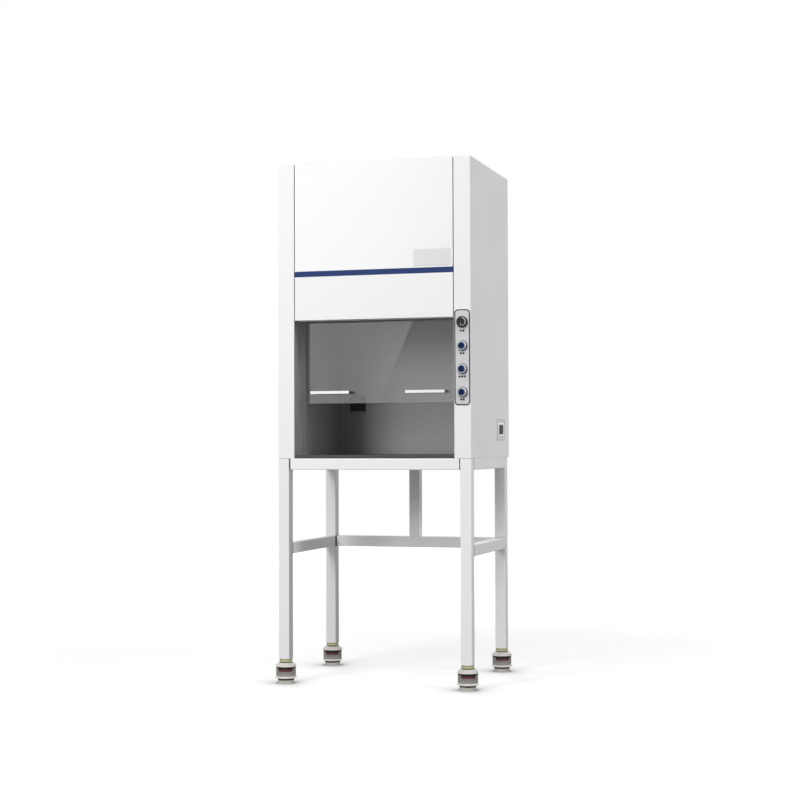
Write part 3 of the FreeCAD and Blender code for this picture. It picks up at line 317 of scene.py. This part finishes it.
def pane_finish():
    """Clear, slightly grey glass: light rays for shadows pass straight through, and the lower edge
    is paler, a painted highlight."""
    material = bpy.data.materials.new("sash pane")
    material.use_nodes = True
    tree = material.node_tree
    shader = tree.nodes["Principled BSDF"]
    detail = tree.nodes.new("ShaderNodeGroup")
    detail.node_tree = SURFACE
    detail.inputs["Cloud Scale"].default_value = 2.0
    rim = maths(tree, "LESS_THAN", own_axis(tree, "Z"), GLASS_RIM)
    tint = blend_colour(tree, detail.outputs["Cloud"],
                        (0.76, 0.76, 0.76, 1.0), (0.80, 0.80, 0.80, 1.0))
    tree.links.new(blend_colour(tree, rim, tint, (0.85, 0.87, 0.87, 1.0)),
                   shader.inputs["Base Color"])
    gloss = add(tree, "ShaderNodeMapRange",
                {"Value": detail.outputs["Grain"], "To Min": 0.0, "To Max": 0.012})
    tree.links.new(gloss.outputs[0], shader.inputs["Roughness"])
    shader.inputs["Metallic"].default_value = 0.0
    shader.inputs["Transmission Weight"].default_value = 1.0
    shader.inputs["IOR"].default_value = 1.90
    clear = add(tree, "ShaderNodeBsdfTransparent", {"Color": (0.86, 0.87, 0.87, 1.0)})
    path = add(tree, "ShaderNodeLightPath")
    mix = add(tree, "ShaderNodeMixShader",
              {0: path.outputs["Is Shadow Ray"], 1: shader.outputs[0], 2: clear.outputs[0]})
    tree.links.new(mix.outputs[0], tree.nodes["Material Output"].inputs["Surface"])
    return material


# Colours of the painted shade in the stand's joints and under the worktop's edge
DARK_JOINT_SHADE = (0.006, 0.006, 0.006)
GREY_JOINT_SHADE = (0.02, 0.02, 0.02)
FINISHES = {
    # Sheet metal
    "powder_white": painted("powder white", (0.83, 0.83, 0.84), 0.42, **POWDER),
    "panel_white": painted("panel white", (0.87, 0.87, 0.875), 0.22, coat=0.6, **SMOOTH),
    # The valance's underside is painted dark: painted shade under the opening's top edge
    "valance_white": recolour(
        painted("valance white", (0.87, 0.87, 0.875), 0.40, shine=0.05, **SMOOTH),
        beyond("Z", low=VALANCE_EDGE), (0.03, 0.03, 0.03)),
    "side_white": recolour(
        painted("side white", (0.86, 0.86, 0.87), 0.42, **POWDER),
        beyond("X", low=SIDE_RETURN, spread=True), (0.34, 0.34, 0.34)),
    "stripe_blue": painted("stripe blue", (0.012, 0.034, 0.132), 0.5, tone=0.06),
    "grille_white": painted("grille white", (0.80, 0.80, 0.81), 0.40, coat=0.1),
    "label_film": painted("label film", (0.72, 0.725, 0.735), 0.35, tone=0.02, coat=0.2),
    # Stand, with painted shade at the joints of its tubes
    "leg_white": stand_white("leg white", beyond("Z", high=LEG_JOINT), (0.20, 0.20, 0.20)),
    "rail_x_white": stand_white("rail white across", beyond("X", *RAIL_X_JOINTS), DARK_JOINT_SHADE),
    "rail_y_white": stand_white("rail white along", beyond("Y", *RAIL_Y_JOINTS), GREY_JOINT_SHADE),
    "upright_white": stand_white("upright white", beyond("Z", high=UPRIGHT_JOINT), GREY_JOINT_SHADE),
    # Chamber
    # The worktop's lowest millimetres are painted dark: painted shade under its edge
    "worktop_dark": recolour(
        painted("worktop dark", (0.047, 0.047, 0.049), 0.45, tone=0.15, speck=0.35, grain=500.0),
        beyond("Z", low=WORKTOP_JOINT), DARK_JOINT_SHADE),
    "liner_grey": painted("liner grey", (0.30, 0.30, 0.298), 0.55, speck=0.22, **LINER),
    # The side liners are a lighter copy of the liner grey: painted light on the chamber's side
    # walls
    "liner_side": painted("liner side", (0.35, 0.35, 0.348), 0.55, speck=0.15, **LINER),
    "socket_black": painted("socket black", (0.010, 0.010, 0.010), 0.45, edge=0.2),
    # Sash
    "sash_pane": pane_finish(),
    "handle_satin": handle_finish(),
    "carrier_alu": painted("carrier aluminium", (0.55, 0.55, 0.56), 0.35, metal=0.9, grain=900.0,
                           stretch=0.04),
    "guide_grey": painted("guide grey", (0.26, 0.26, 0.26), 0.5, stretch=0.05),
    "belt_rubber": painted("belt rubber", (0.020, 0.020, 0.020), 0.7),
    "shaft_steel": painted("shaft steel", (0.52, 0.52, 0.53), 0.28, metal=1.0, stretch=0.03),
    "weight_iron": painted("weight iron", (0.10, 0.10, 0.105), 0.55, metal=0.7, tone=0.2,
                           grain=300.0, relief=0.0002),
    # Filter, fan and lamp
    "tray_grey": painted("tray grey", (0.30, 0.30, 0.305), 0.5),
    "filter_board": painted("filter board", (0.10, 0.10, 0.10), 0.8, speck=0.3),
    "fan_steel": painted("fan steel", (0.50, 0.51, 0.52), 0.38, metal=0.9, tone=0.12, cloud=30.0),
    "motor_cast": painted("motor cast", (0.33, 0.34, 0.35), 0.5, metal=0.8, tone=0.1, grain=400.0),
    "lamp_white": painted("lamp white", (0.82, 0.82, 0.81), 0.30, coat=0.2),
    "lamp_opal": painted("lamp opal", (0.88, 0.89, 0.90), 0.18, coat=0.5, tone=0.01,
                         relief=0.00001),
    "gland_black": painted("gland black", (0.020, 0.020, 0.021), 0.45, edge=0.2),
    # Controls
    "plate_grey": painted("plate grey", (0.62, 0.625, 0.63), 0.38, coat=0.2, grain=900.0,
                          stretch=0.03),
    "outline_dark": painted("outline dark", (0.014, 0.015, 0.017), 0.5, shine=0.2),
    "knob_black": knob_finish(),
    "knob_cap": painted("knob cap", (0.032, 0.031, 0.031), 0.36, edge=0.4, shine=0.2),
    "switch_chrome": painted("switch chrome", (0.88, 0.91, 0.97), 0.18, metal=0.5, tone=0.02,
                             relief=0.00001),
    # The dark ring round each button: painted shade
    "bezel_edge": painted("bezel edge", (0.016, 0.022, 0.045), 0.45, shine=0.1),
    "button_blue": painted("button blue", (0.006, 0.011, 0.038), 0.3, edge=0.3, shine=0.2),
    "button_lens": painted("button lens", (0.006, 0.020, 0.078), 0.30, tone=0.1, cloud=120.0,
                           shine=0.12),
    # Breaker
    "breaker_grey": recolour(painted("breaker grey", (0.80, 0.80, 0.80), 0.45),
                             beyond("X", low=SIDE - 0.0001), (0.014, 0.014, 0.014)),
    "frame_white": painted("frame white", (0.90, 0.90, 0.90), 0.25, metal=0.6),
    "outline_grey": painted("outline grey", (0.30, 0.30, 0.305), 0.5),
    # The lever is paler down its middle: painted light
    "lever_grey": recolour(painted("lever grey", (0.045, 0.045, 0.047), 0.4),
                           between("Y", *LEVER_MIDDLE), (0.14, 0.14, 0.14)),
    # Feet and screws
    "foot_metal": foot_finish(),
    # The rubber is painted dark above and below its lit band: painted shade
    "foot_red_rubber": recolour(
        painted("foot red rubber", (0.118, 0.036, 0.034), 0.6, tone=0.25, cloud=90.0),
        beyond("Z", *RUBBER_LIT), (0.010, 0.006, 0.006)),
    "washer_brass": painted("washer brass", (0.66, 0.66, 0.34), 0.35, metal=0.3, tone=0.1,
                            cloud=80.0),
    "screw_zinc": painted("screw zinc", (0.62, 0.62, 0.62), 0.30, metal=0.9, tone=0.1),
}
# CAD nodes whose finish differs from the others of their slot
OWN_FINISH = {
    "upper_front_panel": "panel_white",
    "valance_panel": "valance_white",
    "liner_left": "liner_side",
    "liner_right": "liner_side",
    "side_panel_left": "side_white",
    "side_panel_right": "side_white",
    "rear_upright": "upright_white",
    "leg_front_left": "leg_white",
    "leg_front_right": "leg_white",
    "leg_rear_left": "leg_white",
    "leg_rear_right": "leg_white",
    "top_rail_front": "rail_x_white",
    "top_rail_rear": "rail_x_white",
    "lower_rail_rear": "rail_x_white",
    "top_rail_left": "rail_y_white",
    "top_rail_right": "rail_y_white",
    "lower_rail_left": "rail_y_white",
    "lower_rail_right": "rail_y_white",
}


def finish_cad():
    """Gives each CAD node its own finish, or else the finish of its slot in the record."""
    slots = {entry["node"]: entry["material_slot"] for entry in frame["record"]["subparts"]}
    for node, piece in frame["nodes"].items():
        name = OWN_FINISH.get(node, slots[node])
        data = piece.data
        for index in range(len(data.materials)):
            data.materials[index] = FINISHES[name]
        if not data.materials:
            data.materials.append(FINISHES[name])


# Surfaces

def mesh_piece(name, points, faces, finish, body):
    """A mesh with its faces turned outwards, in a finish, riding on a body."""
    triangles = faces
    if faces.shape[1] == 4:
        triangles = np.concatenate([faces[:, [0, 1, 2]], faces[:, [0, 2, 3]]])
    corner = points[triangles]
    volume = np.einsum("ij,ij->i", corner[:, 0], np.cross(corner[:, 1], corner[:, 2])).sum()
    if volume < 0:
        faces = faces[:, ::-1]
    mesh = bpy.data.meshes.new(name)
    mesh.from_pydata(points.tolist(), [], faces.tolist())
    mesh.validate()
    mesh.polygons.foreach_set("use_smooth", np.ones(len(mesh.polygons), bool))
    piece = bpy.data.objects.new(name, mesh)
    bpy.context.scene.collection.objects.link(piece)
    mesh.materials.append(FINISHES[finish])
    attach(piece, body)
    return piece


def ring_faces(rings, steps):
    """The four-sided faces of a grid of closed rings that is closed the other way too."""
    ring, step = np.meshgrid(np.arange(rings), np.arange(steps), indexing="ij")
    after = (ring + 1) % rings
    beside = (step + 1) % steps
    corners = [ring * steps + step, ring * steps + beside,
               after * steps + beside, after * steps + step]
    return np.stack([c.ravel() for c in corners], axis=1)


def axes_for(axis):
    """Two directions across an axis, and the axis itself, right-handed."""
    along = np.array(axis, float)
    side = np.array((1.0, 0.0, 0.0)) if abs(along[0]) < 0.5 else np.array((0.0, 0.0, 1.0))
    up = np.cross(along, side)
    return side, up, along


def hoop(name, centre, axis, radius, shape, finish, body, steps=64, ribs=0, depth=0.0):
    """A closed section carried round a circle: the point (radius + x)(cos t, sin t) raised by y,
    for each point (x, y) of the section, with x drawn in by depth times the square of
    sin(ribs t / 2)."""
    side, up, along = axes_for(axis)
    shape = np.asarray(shape, float)
    turn = np.linspace(0.0, 2.0 * math.pi, steps, endpoint=False)
    away = radius + shape[:, 0][:, None] - depth * np.sin(ribs * turn / 2.0)[None, :] ** 2
    spokes = np.cos(turn)[:, None] * side + np.sin(turn)[:, None] * up
    raised = shape[:, 1][:, None, None] * along
    points = away[:, :, None] * spokes[None] + raised + np.asarray(centre)
    return mesh_piece(name, points.reshape(-1, 3), ring_faces(len(shape), steps), finish, body)


def round_section(half_width, half_height, count=12):
    """The points of an ellipse, as a section."""
    turn = np.linspace(0.0, 2.0 * math.pi, count, endpoint=False)
    return np.stack([half_width * np.cos(turn), half_height * np.sin(turn)], axis=1)


def dome_grid(profile, steps, centres, axis):
    """Solids of revolution at many centres: each profile point (r, h) becomes a ring of radius r at
    height h, and the two ends of the profile close on the axis. Returns points and three-sided
    faces."""
    side, up, along = axes_for(axis)
    profile = np.asarray(profile, float)
    turn = np.linspace(0.0, 2.0 * math.pi, steps, endpoint=False)
    spokes = np.cos(turn)[:, None] * side + np.sin(turn)[:, None] * up
    rings = profile[:, 0][:, None, None] * spokes[None] + profile[:, 1][:, None, None] * along
    ends = profile[[0, -1], 1][:, None] * along
    one = np.concatenate([rings.reshape(-1, 3), ends])
    count = len(profile)
    ring, step = np.meshgrid(np.arange(count - 1), np.arange(steps), indexing="ij")
    a = (ring * steps + step).ravel()
    b = (ring * steps + (step + 1) % steps).ravel()
    lower = np.stack([a, b, b + steps], axis=1)
    upper = np.stack([a, b + steps, a + steps], axis=1)
    around = np.arange(steps)
    nearby = (around + 1) % steps
    first = np.stack([np.full(steps, count * steps), nearby, around], axis=1)
    last_ring = (count - 1) * steps
    last = np.stack([np.full(steps, count * steps + 1), last_ring + around, last_ring + nearby],
                    axis=1)
    faces = np.concatenate([lower, upper, first, last])
    centres = np.asarray(centres, float).reshape(-1, 3)
    points = (one[None] + centres[:, None]).reshape(-1, 3)
    shift = (np.arange(len(centres)) * len(one))[:, None, None]
    return points, (faces[None] + shift).reshape(-1, 3)


def domes(name, profile, centres, axis, finish, body, steps):
    """One piece made of a solid of revolution at each centre."""
    points, faces = dome_grid(profile, steps, centres, axis)
    return mesh_piece(name, points, faces, finish, body)


def outline(half_width, half_height, corner, count=8):
    """The outline of a rectangle with round corners, as points across and up."""
    turn = np.linspace(0.0, math.pi / 2.0, count)
    quarters = np.arange(4)[:, None] * math.pi / 2.0 + turn[None]
    signs = np.array([(1, 1), (-1, 1), (-1, -1), (1, -1)], float)
    centre = signs * np.array((half_width - corner, half_height - corner))
    arc = np.stack([np.cos(quarters), np.sin(quarters)], axis=2) * corner
    return (centre[:, None] + arc).reshape(-1, 2)


def border(name, centre, across, up, size, corner, width, height, finish, body):
    """A low bead that follows a rectangle with round corners: a section carried along the outline,
    which is moved in and out by the section's own offset."""
    across, up = np.asarray(across, float), np.asarray(up, float)
    outward = np.cross(across, up)
    rings = []
    for shift, rise in round_section(width / 2.0, height):
        line = outline(size[0] / 2.0 + shift, size[1] / 2.0 + shift, corner + shift)
        rings.append(line[:, :1] * across + line[:, 1:] * up + rise * outward)
    points = np.stack(rings) + np.asarray(centre)
    faces = ring_faces(len(rings), points.shape[1])
    return mesh_piece(name, points.reshape(-1, 3), faces, finish, body)


def panel(name, centre, across, up, size, corner, thick, finish, body):
    """A thin plate with round corners and a softened rim: outlines drawn in step by step and
    raised, closed at the middle of each face."""
    across, up = np.asarray(across, float), np.asarray(up, float)
    outward = np.cross(across, up)
    soft = thick * 0.4
    inmost = corner * 0.999
    steps = ((inmost, 0.0), (0.0, 0.0), (0.0, thick - soft), (soft * 0.3, thick - soft * 0.3),
             (soft, thick), (inmost, thick))
    rings = []
    for inset, rise in steps:
        line = outline(size[0] / 2.0 - inset, size[1] / 2.0 - inset, corner - inset)
        rings.append(line[:, :1] * across + line[:, 1:] * up + rise * outward)
    points = np.stack(rings)
    count = points.shape[1]
    grid, step = np.meshgrid(np.arange(len(rings) - 1), np.arange(count), indexing="ij")
    a = (grid * count + step).ravel()
    b = (grid * count + (step + 1) % count).ravel()
    lower = np.stack([a, b, b + count], axis=1)
    upper = np.stack([a, b + count, a + count], axis=1)
    total = len(rings) * count
    around = np.arange(count)
    nearby = (around + 1) % count
    under = np.stack([np.full(count, total), nearby, around], axis=1)
    top_ring = total - count
    over = np.stack([np.full(count, total + 1), top_ring + around, top_ring + nearby], axis=1)
    middle = np.stack([np.zeros(3), thick * outward])
    everything = np.concatenate([points.reshape(-1, 3), middle]) + np.asarray(centre)
    faces = np.concatenate([lower, upper, under, over])
    return mesh_piece(name, everything, faces, finish, body)


# Pieces

# Profiles of things that stand on a face: radius and height above the face
PAN_HEAD = ((0.0001, -0.0004), (0.0036, -0.0004), (0.0039, 0.0006), (0.0035, 0.0016),
            (0.0024, 0.0022), (0.0012, 0.0024), (0.0009, 0.0015), (0.0001, 0.0014))
SMALL_HEAD = tuple((radius * 0.62, height * 0.55) for radius, height in PAN_HEAD)
LENS = ((0.0001, -0.0006), (0.0106, -0.0006), (0.0110, 0.0002), (0.0094, 0.0010),
        (0.0060, 0.0016), (0.0001, 0.0018))
LABEL_DOT = ((0.0001, 0.0003), (0.0034, 0.0003), (0.0038, -0.0001), (0.0038, -0.0002),
             (0.0001, -0.0002))
TINY_DOT = ((0.0001, 0.0002), (0.0013, 0.0002), (0.0016, -0.0001), (0.0001, -0.0001))
# Each row of dots: its height and how many dots it has
DOT_ROWS = ((KNOB_Z - 0.0305, 2), (BUTTON_Z[0] - 0.0265, 2), (BUTTON_Z[1] - 0.0265, 3),
            (BUTTON_Z[2] - 0.0255, 2))
DOT_SPACING = 0.0095


def label_plate():
    """The bare plate on the upper front panel."""
    panel("label_plate", LABEL_PLATE, X_AXIS, Z_AXIS, (0.1354, 0.0596), 0.0030, 0.0006,
          "label_film", "cabinet")


def control_plate_details():
    """The dark line round the controls, and the dots that stand for their labels."""
    border("control_outline", (CONTROL_X, PLATE_FACE, CONTROL_MIDDLE), X_AXIS, Z_AXIS,
           (0.0522, 0.3282), 0.0116, 0.0038, 0.0004, "outline_dark", "cabinet")
    marks = []
    for height, count in DOT_ROWS:
        for index in range(count):
            across = (index - (count - 1) / 2.0) * DOT_SPACING
            marks.append((CONTROL_X + across, PLATE_FACE, height))
    domes("control_dots", LABEL_DOT, marks, FORWARD, "outline_dark", "cabinet", steps=20)


def knob_details():
    """The knob's pointer, and the collar that it turns in."""
    panel("knob_pointer", (CONTROL_X, PLATE_FACE - 0.0196, KNOB_Z - 0.0090), X_AXIS, Z_AXIS,
          (0.0015, 0.0080), 0.0006, 0.0008, "lamp_white", "speed_knob")
    hoop("knob_collar", (CONTROL_X, PLATE_FACE - 0.0030, KNOB_Z), FORWARD, 0.0189,
         round_section(0.0011, 0.0034), "knob_cap", "cabinet")


def button_details():
    """Each button's lens with the bright rim round it, and the ribbed ring that it sits in,
    coloured dark as painted shade round the button.
    """
    for body, height in zip(BUTTONS, BUTTON_Z):
        domes(body + "_lens", LENS, [(CONTROL_X, PLATE_FACE - 0.0145, height)], FORWARD,
              "button_lens", body, steps=48)
        hoop(body + "_rim", (CONTROL_X, PLATE_FACE - 0.0144, height), FORWARD, 0.0117,
             round_section(0.0005, 0.0006), "switch_chrome", body)
        hoop(body + "_knurl", (CONTROL_X, PLATE_FACE - 0.0026, height), FORWARD, 0.0170,
             round_section(0.0014, 0.0024, 8), "bezel_edge", "cabinet", steps=144, ribs=36,
             depth=0.0006)


# The hoops of a foot: name, height, radius, half width and half height of the section, finish
FOOT_HOOPS = (
    ("_bell_rim", 0.0615, 0.0360, 0.0016, 0.0020, "foot_metal"),
    ("_cup_lip", 0.0590, 0.0340, 0.0015, 0.0012, "foot_metal"),
    ("_ring", 0.0216, 0.0366, 0.0013, 0.0026, "foot_metal"),
    ("_washer_edge", 0.0790, 0.0228, 0.0008, 0.0016, "washer_brass"),
)


def foot_details():
    """The rolled rims of each foot's bell, cup and ring, and the edge of its washer."""
    for body, (x, y) in FEET.items():
        for name, z, radius, half_width, half_height, finish in FOOT_HOOPS:
            hoop(body + name, (x, y, z), Z_AXIS, radius, round_section(half_width, half_height),
                 finish, body)


def back_screws():
    """The screws that hold the back panel, along its four edges."""
    rows = [(x, BACK, z) for z in (0.815, 1.835) for x in np.linspace(-0.335, 0.335, 6)]
    columns = [(x, BACK, z) for x in (-0.335, 0.335) for z in np.linspace(0.985, 1.665, 5)]
    domes("back_screws", PAN_HEAD, rows + columns, Y_AXIS, "screw_zinc", "cabinet", steps=12)


def roof_screws():
    """The screws along the roof's sides and its rear edge."""
    sides = [(x, y, ROOF) for x in (-0.342, 0.342) for y in np.linspace(-0.20, 0.26, 4)]
    ends = [(x, 0.274, ROOF) for x in np.linspace(-0.22, 0.22, 3)]
    domes("roof_screws", PAN_HEAD, sides + ends, Z_AXIS, "screw_zinc", "cabinet", steps=12)


def breaker_details():
    """The raised frame round the breaker's window, the line round its plate, two rows of dots, and
    the screws at the plate's corners."""
    face = (BREAKER_FACE, BREAKER_Y, BREAKER_Z)
    border("breaker_frame", face, Y_AXIS, Z_AXIS, (0.0700, 0.0420), 0.0048, 0.0070, 0.0012,
           "frame_white", "cabinet")
    border("breaker_edge", face, Y_AXIS, Z_AXIS, (0.1160, 0.0760), 0.0040, 0.0014, 0.0004,
           "outline_grey", "cabinet")
    marks = [(BREAKER_FACE + 0.0001, BREAKER_Y + y, BREAKER_Z + z)
             for y in np.linspace(-0.030, 0.030, 6) for z in (-0.030, 0.030)]
    domes("breaker_dots", TINY_DOT, marks, X_AXIS, "outline_grey", "cabinet", steps=12)
    corners = [(BREAKER_FACE, BREAKER_Y + y, BREAKER_Z + z)
               for y in (-0.053, 0.053) for z in (-0.033, 0.033)]
    domes("breaker_screws", SMALL_HEAD, corners, X_AXIS, "screw_zinc", "cabinet", steps=12)


def gland_ribs():
    """The ribs round the gland's clamping nut."""
    hoop("gland_ribs", GLAND_NUT, Y_AXIS, 0.0142, round_section(0.0008, 0.0030, 8), "gland_black",
         "cabinet", steps=96, ribs=24, depth=0.0009)


finish_cad()
label_plate()
control_plate_details()
knob_details()
button_details()
foot_details()
back_screws()
roof_screws()
breaker_details()
gland_ribs()


# Studio

AMBIENT = 0.30
FLOOR_REACH = 9.0
FLOOR_CORNERS = [(-FLOOR_REACH, -FLOOR_REACH, 0.0), (FLOOR_REACH, -FLOOR_REACH, 0.0),
                 (FLOOR_REACH, FLOOR_REACH, 0.0), (-FLOOR_REACH, FLOOR_REACH, 0.0)]
CARD_CORNERS = [(-0.815, -4.0, 2.00), (-1.208, -4.0, 1.094), (-1.25, -4.0, 0.62),
                (0.8, -4.0, 0.62), (0.8, -4.0, 2.00)]
LEFT_LEGS = ("leg_front_left", "leg_rear_left")
CHAMBER = ("liner_back", "liner_left", "worktop", "socket_base", "socket_lid")
CHAMBER_SIDE = ("liner_left", "sash_guides")
CAMERA_PLACE = (1.800, -5.8881, 0.8487)
CAMERA_LENS = 75.4
CAMERA_ANGLES = (16.881, 1.519, -0.174)


def stage_mesh(name, corners, material):
    """A flat part of the studio, which isn't part of the hood."""
    mesh = bpy.data.meshes.new(name)
    mesh.from_pydata(corners, [], [tuple(range(len(corners)))])
    piece = bpy.data.objects.new(name, mesh)
    bpy.context.scene.collection.objects.link(piece)
    mesh.materials.append(material)
    return piece


def floor_material():
    """A pale floor that the camera sees as white except where the hood keeps the light off it. Its
    glow is lower close to the feet, which paints a contact shadow round them, and grows with the
    distance from the hood, so that its far edge doesn't show."""
    material = bpy.data.materials.new("studio floor")
    material.use_nodes = True
    tree = material.node_tree
    shader = tree.nodes["Principled BSDF"]
    shader.inputs["Base Color"].default_value = (0.36, 0.36, 0.36, 1.0)
    shader.inputs["Roughness"].default_value = 0.9
    shader.inputs["Specular IOR Level"].default_value = 0.0
    path = add(tree, "ShaderNodeLightPath")
    seen = maths(tree, "MAXIMUM", path.outputs["Is Camera Ray"],
                 path.outputs["Is Transmission Ray"])
    place = add(tree, "ShaderNodeTexCoord").outputs["Object"]
    away = add(tree, "ShaderNodeVectorMath", {0: place}, operation="LENGTH").outputs["Value"]
    far = add(tree, "ShaderNodeMapRange",
              {"Value": away, "From Min": 1.5, "From Max": 5.0, "To Min": 0.66, "To Max": 1.0})
    open_sky = add(tree, "ShaderNodeAmbientOcclusion", {"Distance": 0.15}, samples=16).outputs["AO"]
    contact = add(tree, "ShaderNodeMapRange",
                  {"Value": open_sky, "From Min": 0.5, "From Max": 0.98, "To Min": 0.1,
                   "To Max": 1.0})
    glow = maths(tree, "MULTIPLY", maths(tree, "MULTIPLY", seen, far.outputs[0]),
                 contact.outputs[0])
    shader.inputs["Emission Color"].default_value = (1.0, 1.0, 1.0, 1.0)
    tree.links.new(glow, shader.inputs["Emission Strength"])
    return material


def card_material():
    """A grey card that is only seen in reflections, darker towards its top."""
    material = bpy.data.materials.new("studio card")
    material.use_nodes = True
    tree = material.node_tree
    level = add(tree, "ShaderNodeMapRange",
                {"Value": own_axis(tree, "Z"), "From Min": 1.22, "From Max": 1.50,
                 "To Min": 0.78, "To Max": 0.24}).outputs[0]
    glow = add(tree, "ShaderNodeEmission", {"Strength": level})
    tree.links.new(glow.outputs[0], tree.nodes["Material Output"].inputs["Surface"])
    return material


def place_lamp(lamp, turn, lights_only=(), leaves_out=()):
    """Turns a lamp, hides its own shape from reflections and glass, and adds it to the scene. It
    lights only some nodes, or all but some, where they are named."""
    lamp.rotation_mode = "QUATERNION"
    lamp.rotation_quaternion = turn
    if lights_only or leaves_out:
        named = bpy.data.collections.new(lamp.name + " nodes")
        for node in lights_only + leaves_out:
            named.objects.link(frame["nodes"][node])
        for row in named.collection_objects:
            row.light_linking.link_state = "EXCLUDE" if leaves_out else "INCLUDE"
        lamp.light_linking.receiver_collection = named
    lamp.visible_camera = False
    lamp.visible_glossy = False
    lamp.visible_transmission = False
    bpy.context.scene.collection.objects.link(lamp)


def sun(name, azimuth, elevation, strength, angle, lights_only=(), leaves_out=()):
    """A distant lamp. Azimuth 0 shines from the front and grows towards the hood's right."""
    data = bpy.data.lights.new(name, "SUN")
    data.energy = strength * math.pi
    data.angle = math.radians(angle)
    lamp = bpy.data.objects.new(name, data)
    a, e = math.radians(azimuth), math.radians(elevation)
    towards = Vector((math.sin(a) * math.cos(e), -math.cos(a) * math.cos(e), math.sin(e)))
    place_lamp(lamp, towards.to_track_quat("Z", "Y"), lights_only, leaves_out)


def strip(name, foot, turn, size, watts):
    """An upright rectangular lamp. Turn 0 shines to the back and grows towards the hood's left."""
    data = bpy.data.lights.new(name, "AREA")
    data.shape = "RECTANGLE"
    data.size, data.size_y = size
    data.energy = watts
    lamp = bpy.data.objects.new(name, data)
    lamp.location = Vector(foot) + Vector((0.0, 0.0, size[1] / 2.0))
    a = math.radians(turn)
    towards = Vector((-math.sin(a), math.cos(a), 0.0))
    place_lamp(lamp, towards.to_track_quat("-Z", "Y"))


def world():
    """A soft even light that the camera, glass and bright metal see as white."""
    made = bpy.data.worlds.new("studio")
    bpy.context.scene.world = made
    made.use_nodes = True
    tree = made.node_tree
    path = add(tree, "ShaderNodeLightPath")
    through = maths(tree, "MAXIMUM", path.outputs["Is Glossy Ray"],
                    path.outputs["Is Transmission Ray"])
    seen = maths(tree, "MAXIMUM", path.outputs["Is Camera Ray"], through)
    level = add(tree, "ShaderNodeMapRange", {"Value": seen, "To Min": AMBIENT, "To Max": 1.0})
    back = tree.nodes["Background"]
    back.inputs["Color"].default_value = (1.0, 1.0, 1.0, 1.0)
    tree.links.new(level.outputs[0], back.inputs["Strength"])


def camera():
    """The camera that took the picture: its place, turn and lens were worked out from straight
    edges."""
    data = bpy.data.cameras.new("camera")
    data.sensor_width = 36.0
    data.lens = CAMERA_LENS
    eye = bpy.data.objects.new("camera", data)
    yaw, pitch, roll = (math.radians(angle) for angle in CAMERA_ANGLES)
    forward = Vector((-math.sin(yaw) * math.cos(pitch), math.cos(yaw) * math.cos(pitch),
                      math.sin(pitch)))
    right = Vector((math.cos(yaw), math.sin(yaw), 0.0))
    up = right.cross(forward)
    turned_right = right * math.cos(roll) + up * math.sin(roll)
    turned_up = up * math.cos(roll) - right * math.sin(roll)
    turn = Matrix((turned_right, turned_up, -forward)).transposed()
    eye.matrix_world = Matrix.Translation(CAMERA_PLACE) @ turn.to_4x4()
    bpy.context.scene.collection.objects.link(eye)
    bpy.context.scene.camera = eye


stage_mesh("studio_floor", FLOOR_CORNERS, floor_material())
card = stage_mesh("studio_card", CARD_CORNERS, card_material())
card.visible_camera = False
card.visible_diffuse = False
card.visible_shadow = False
card.visible_transmission = False
world()
strip("key", (-1.671, -4.567, 1.65), -17.8, (1.20, 3.5), 151.0)
sun("top", 0.0, 58.0, 0.33, 40.0)
sun("fill", 78.0, 30.0, 0.26, 12.0, leaves_out=LEFT_LEGS)
sun("rear", 212.0, 22.0, 0.36, 20.0)
sun("chamber key", -17.8, 4.0, 0.39, 26.0, lights_only=CHAMBER)
sun("chamber side", 60.0, 5.0, 0.12, 40.0, lights_only=CHAMBER_SIDE)
camera()
bpy.context.scene.view_settings.view_transform = "Standard"
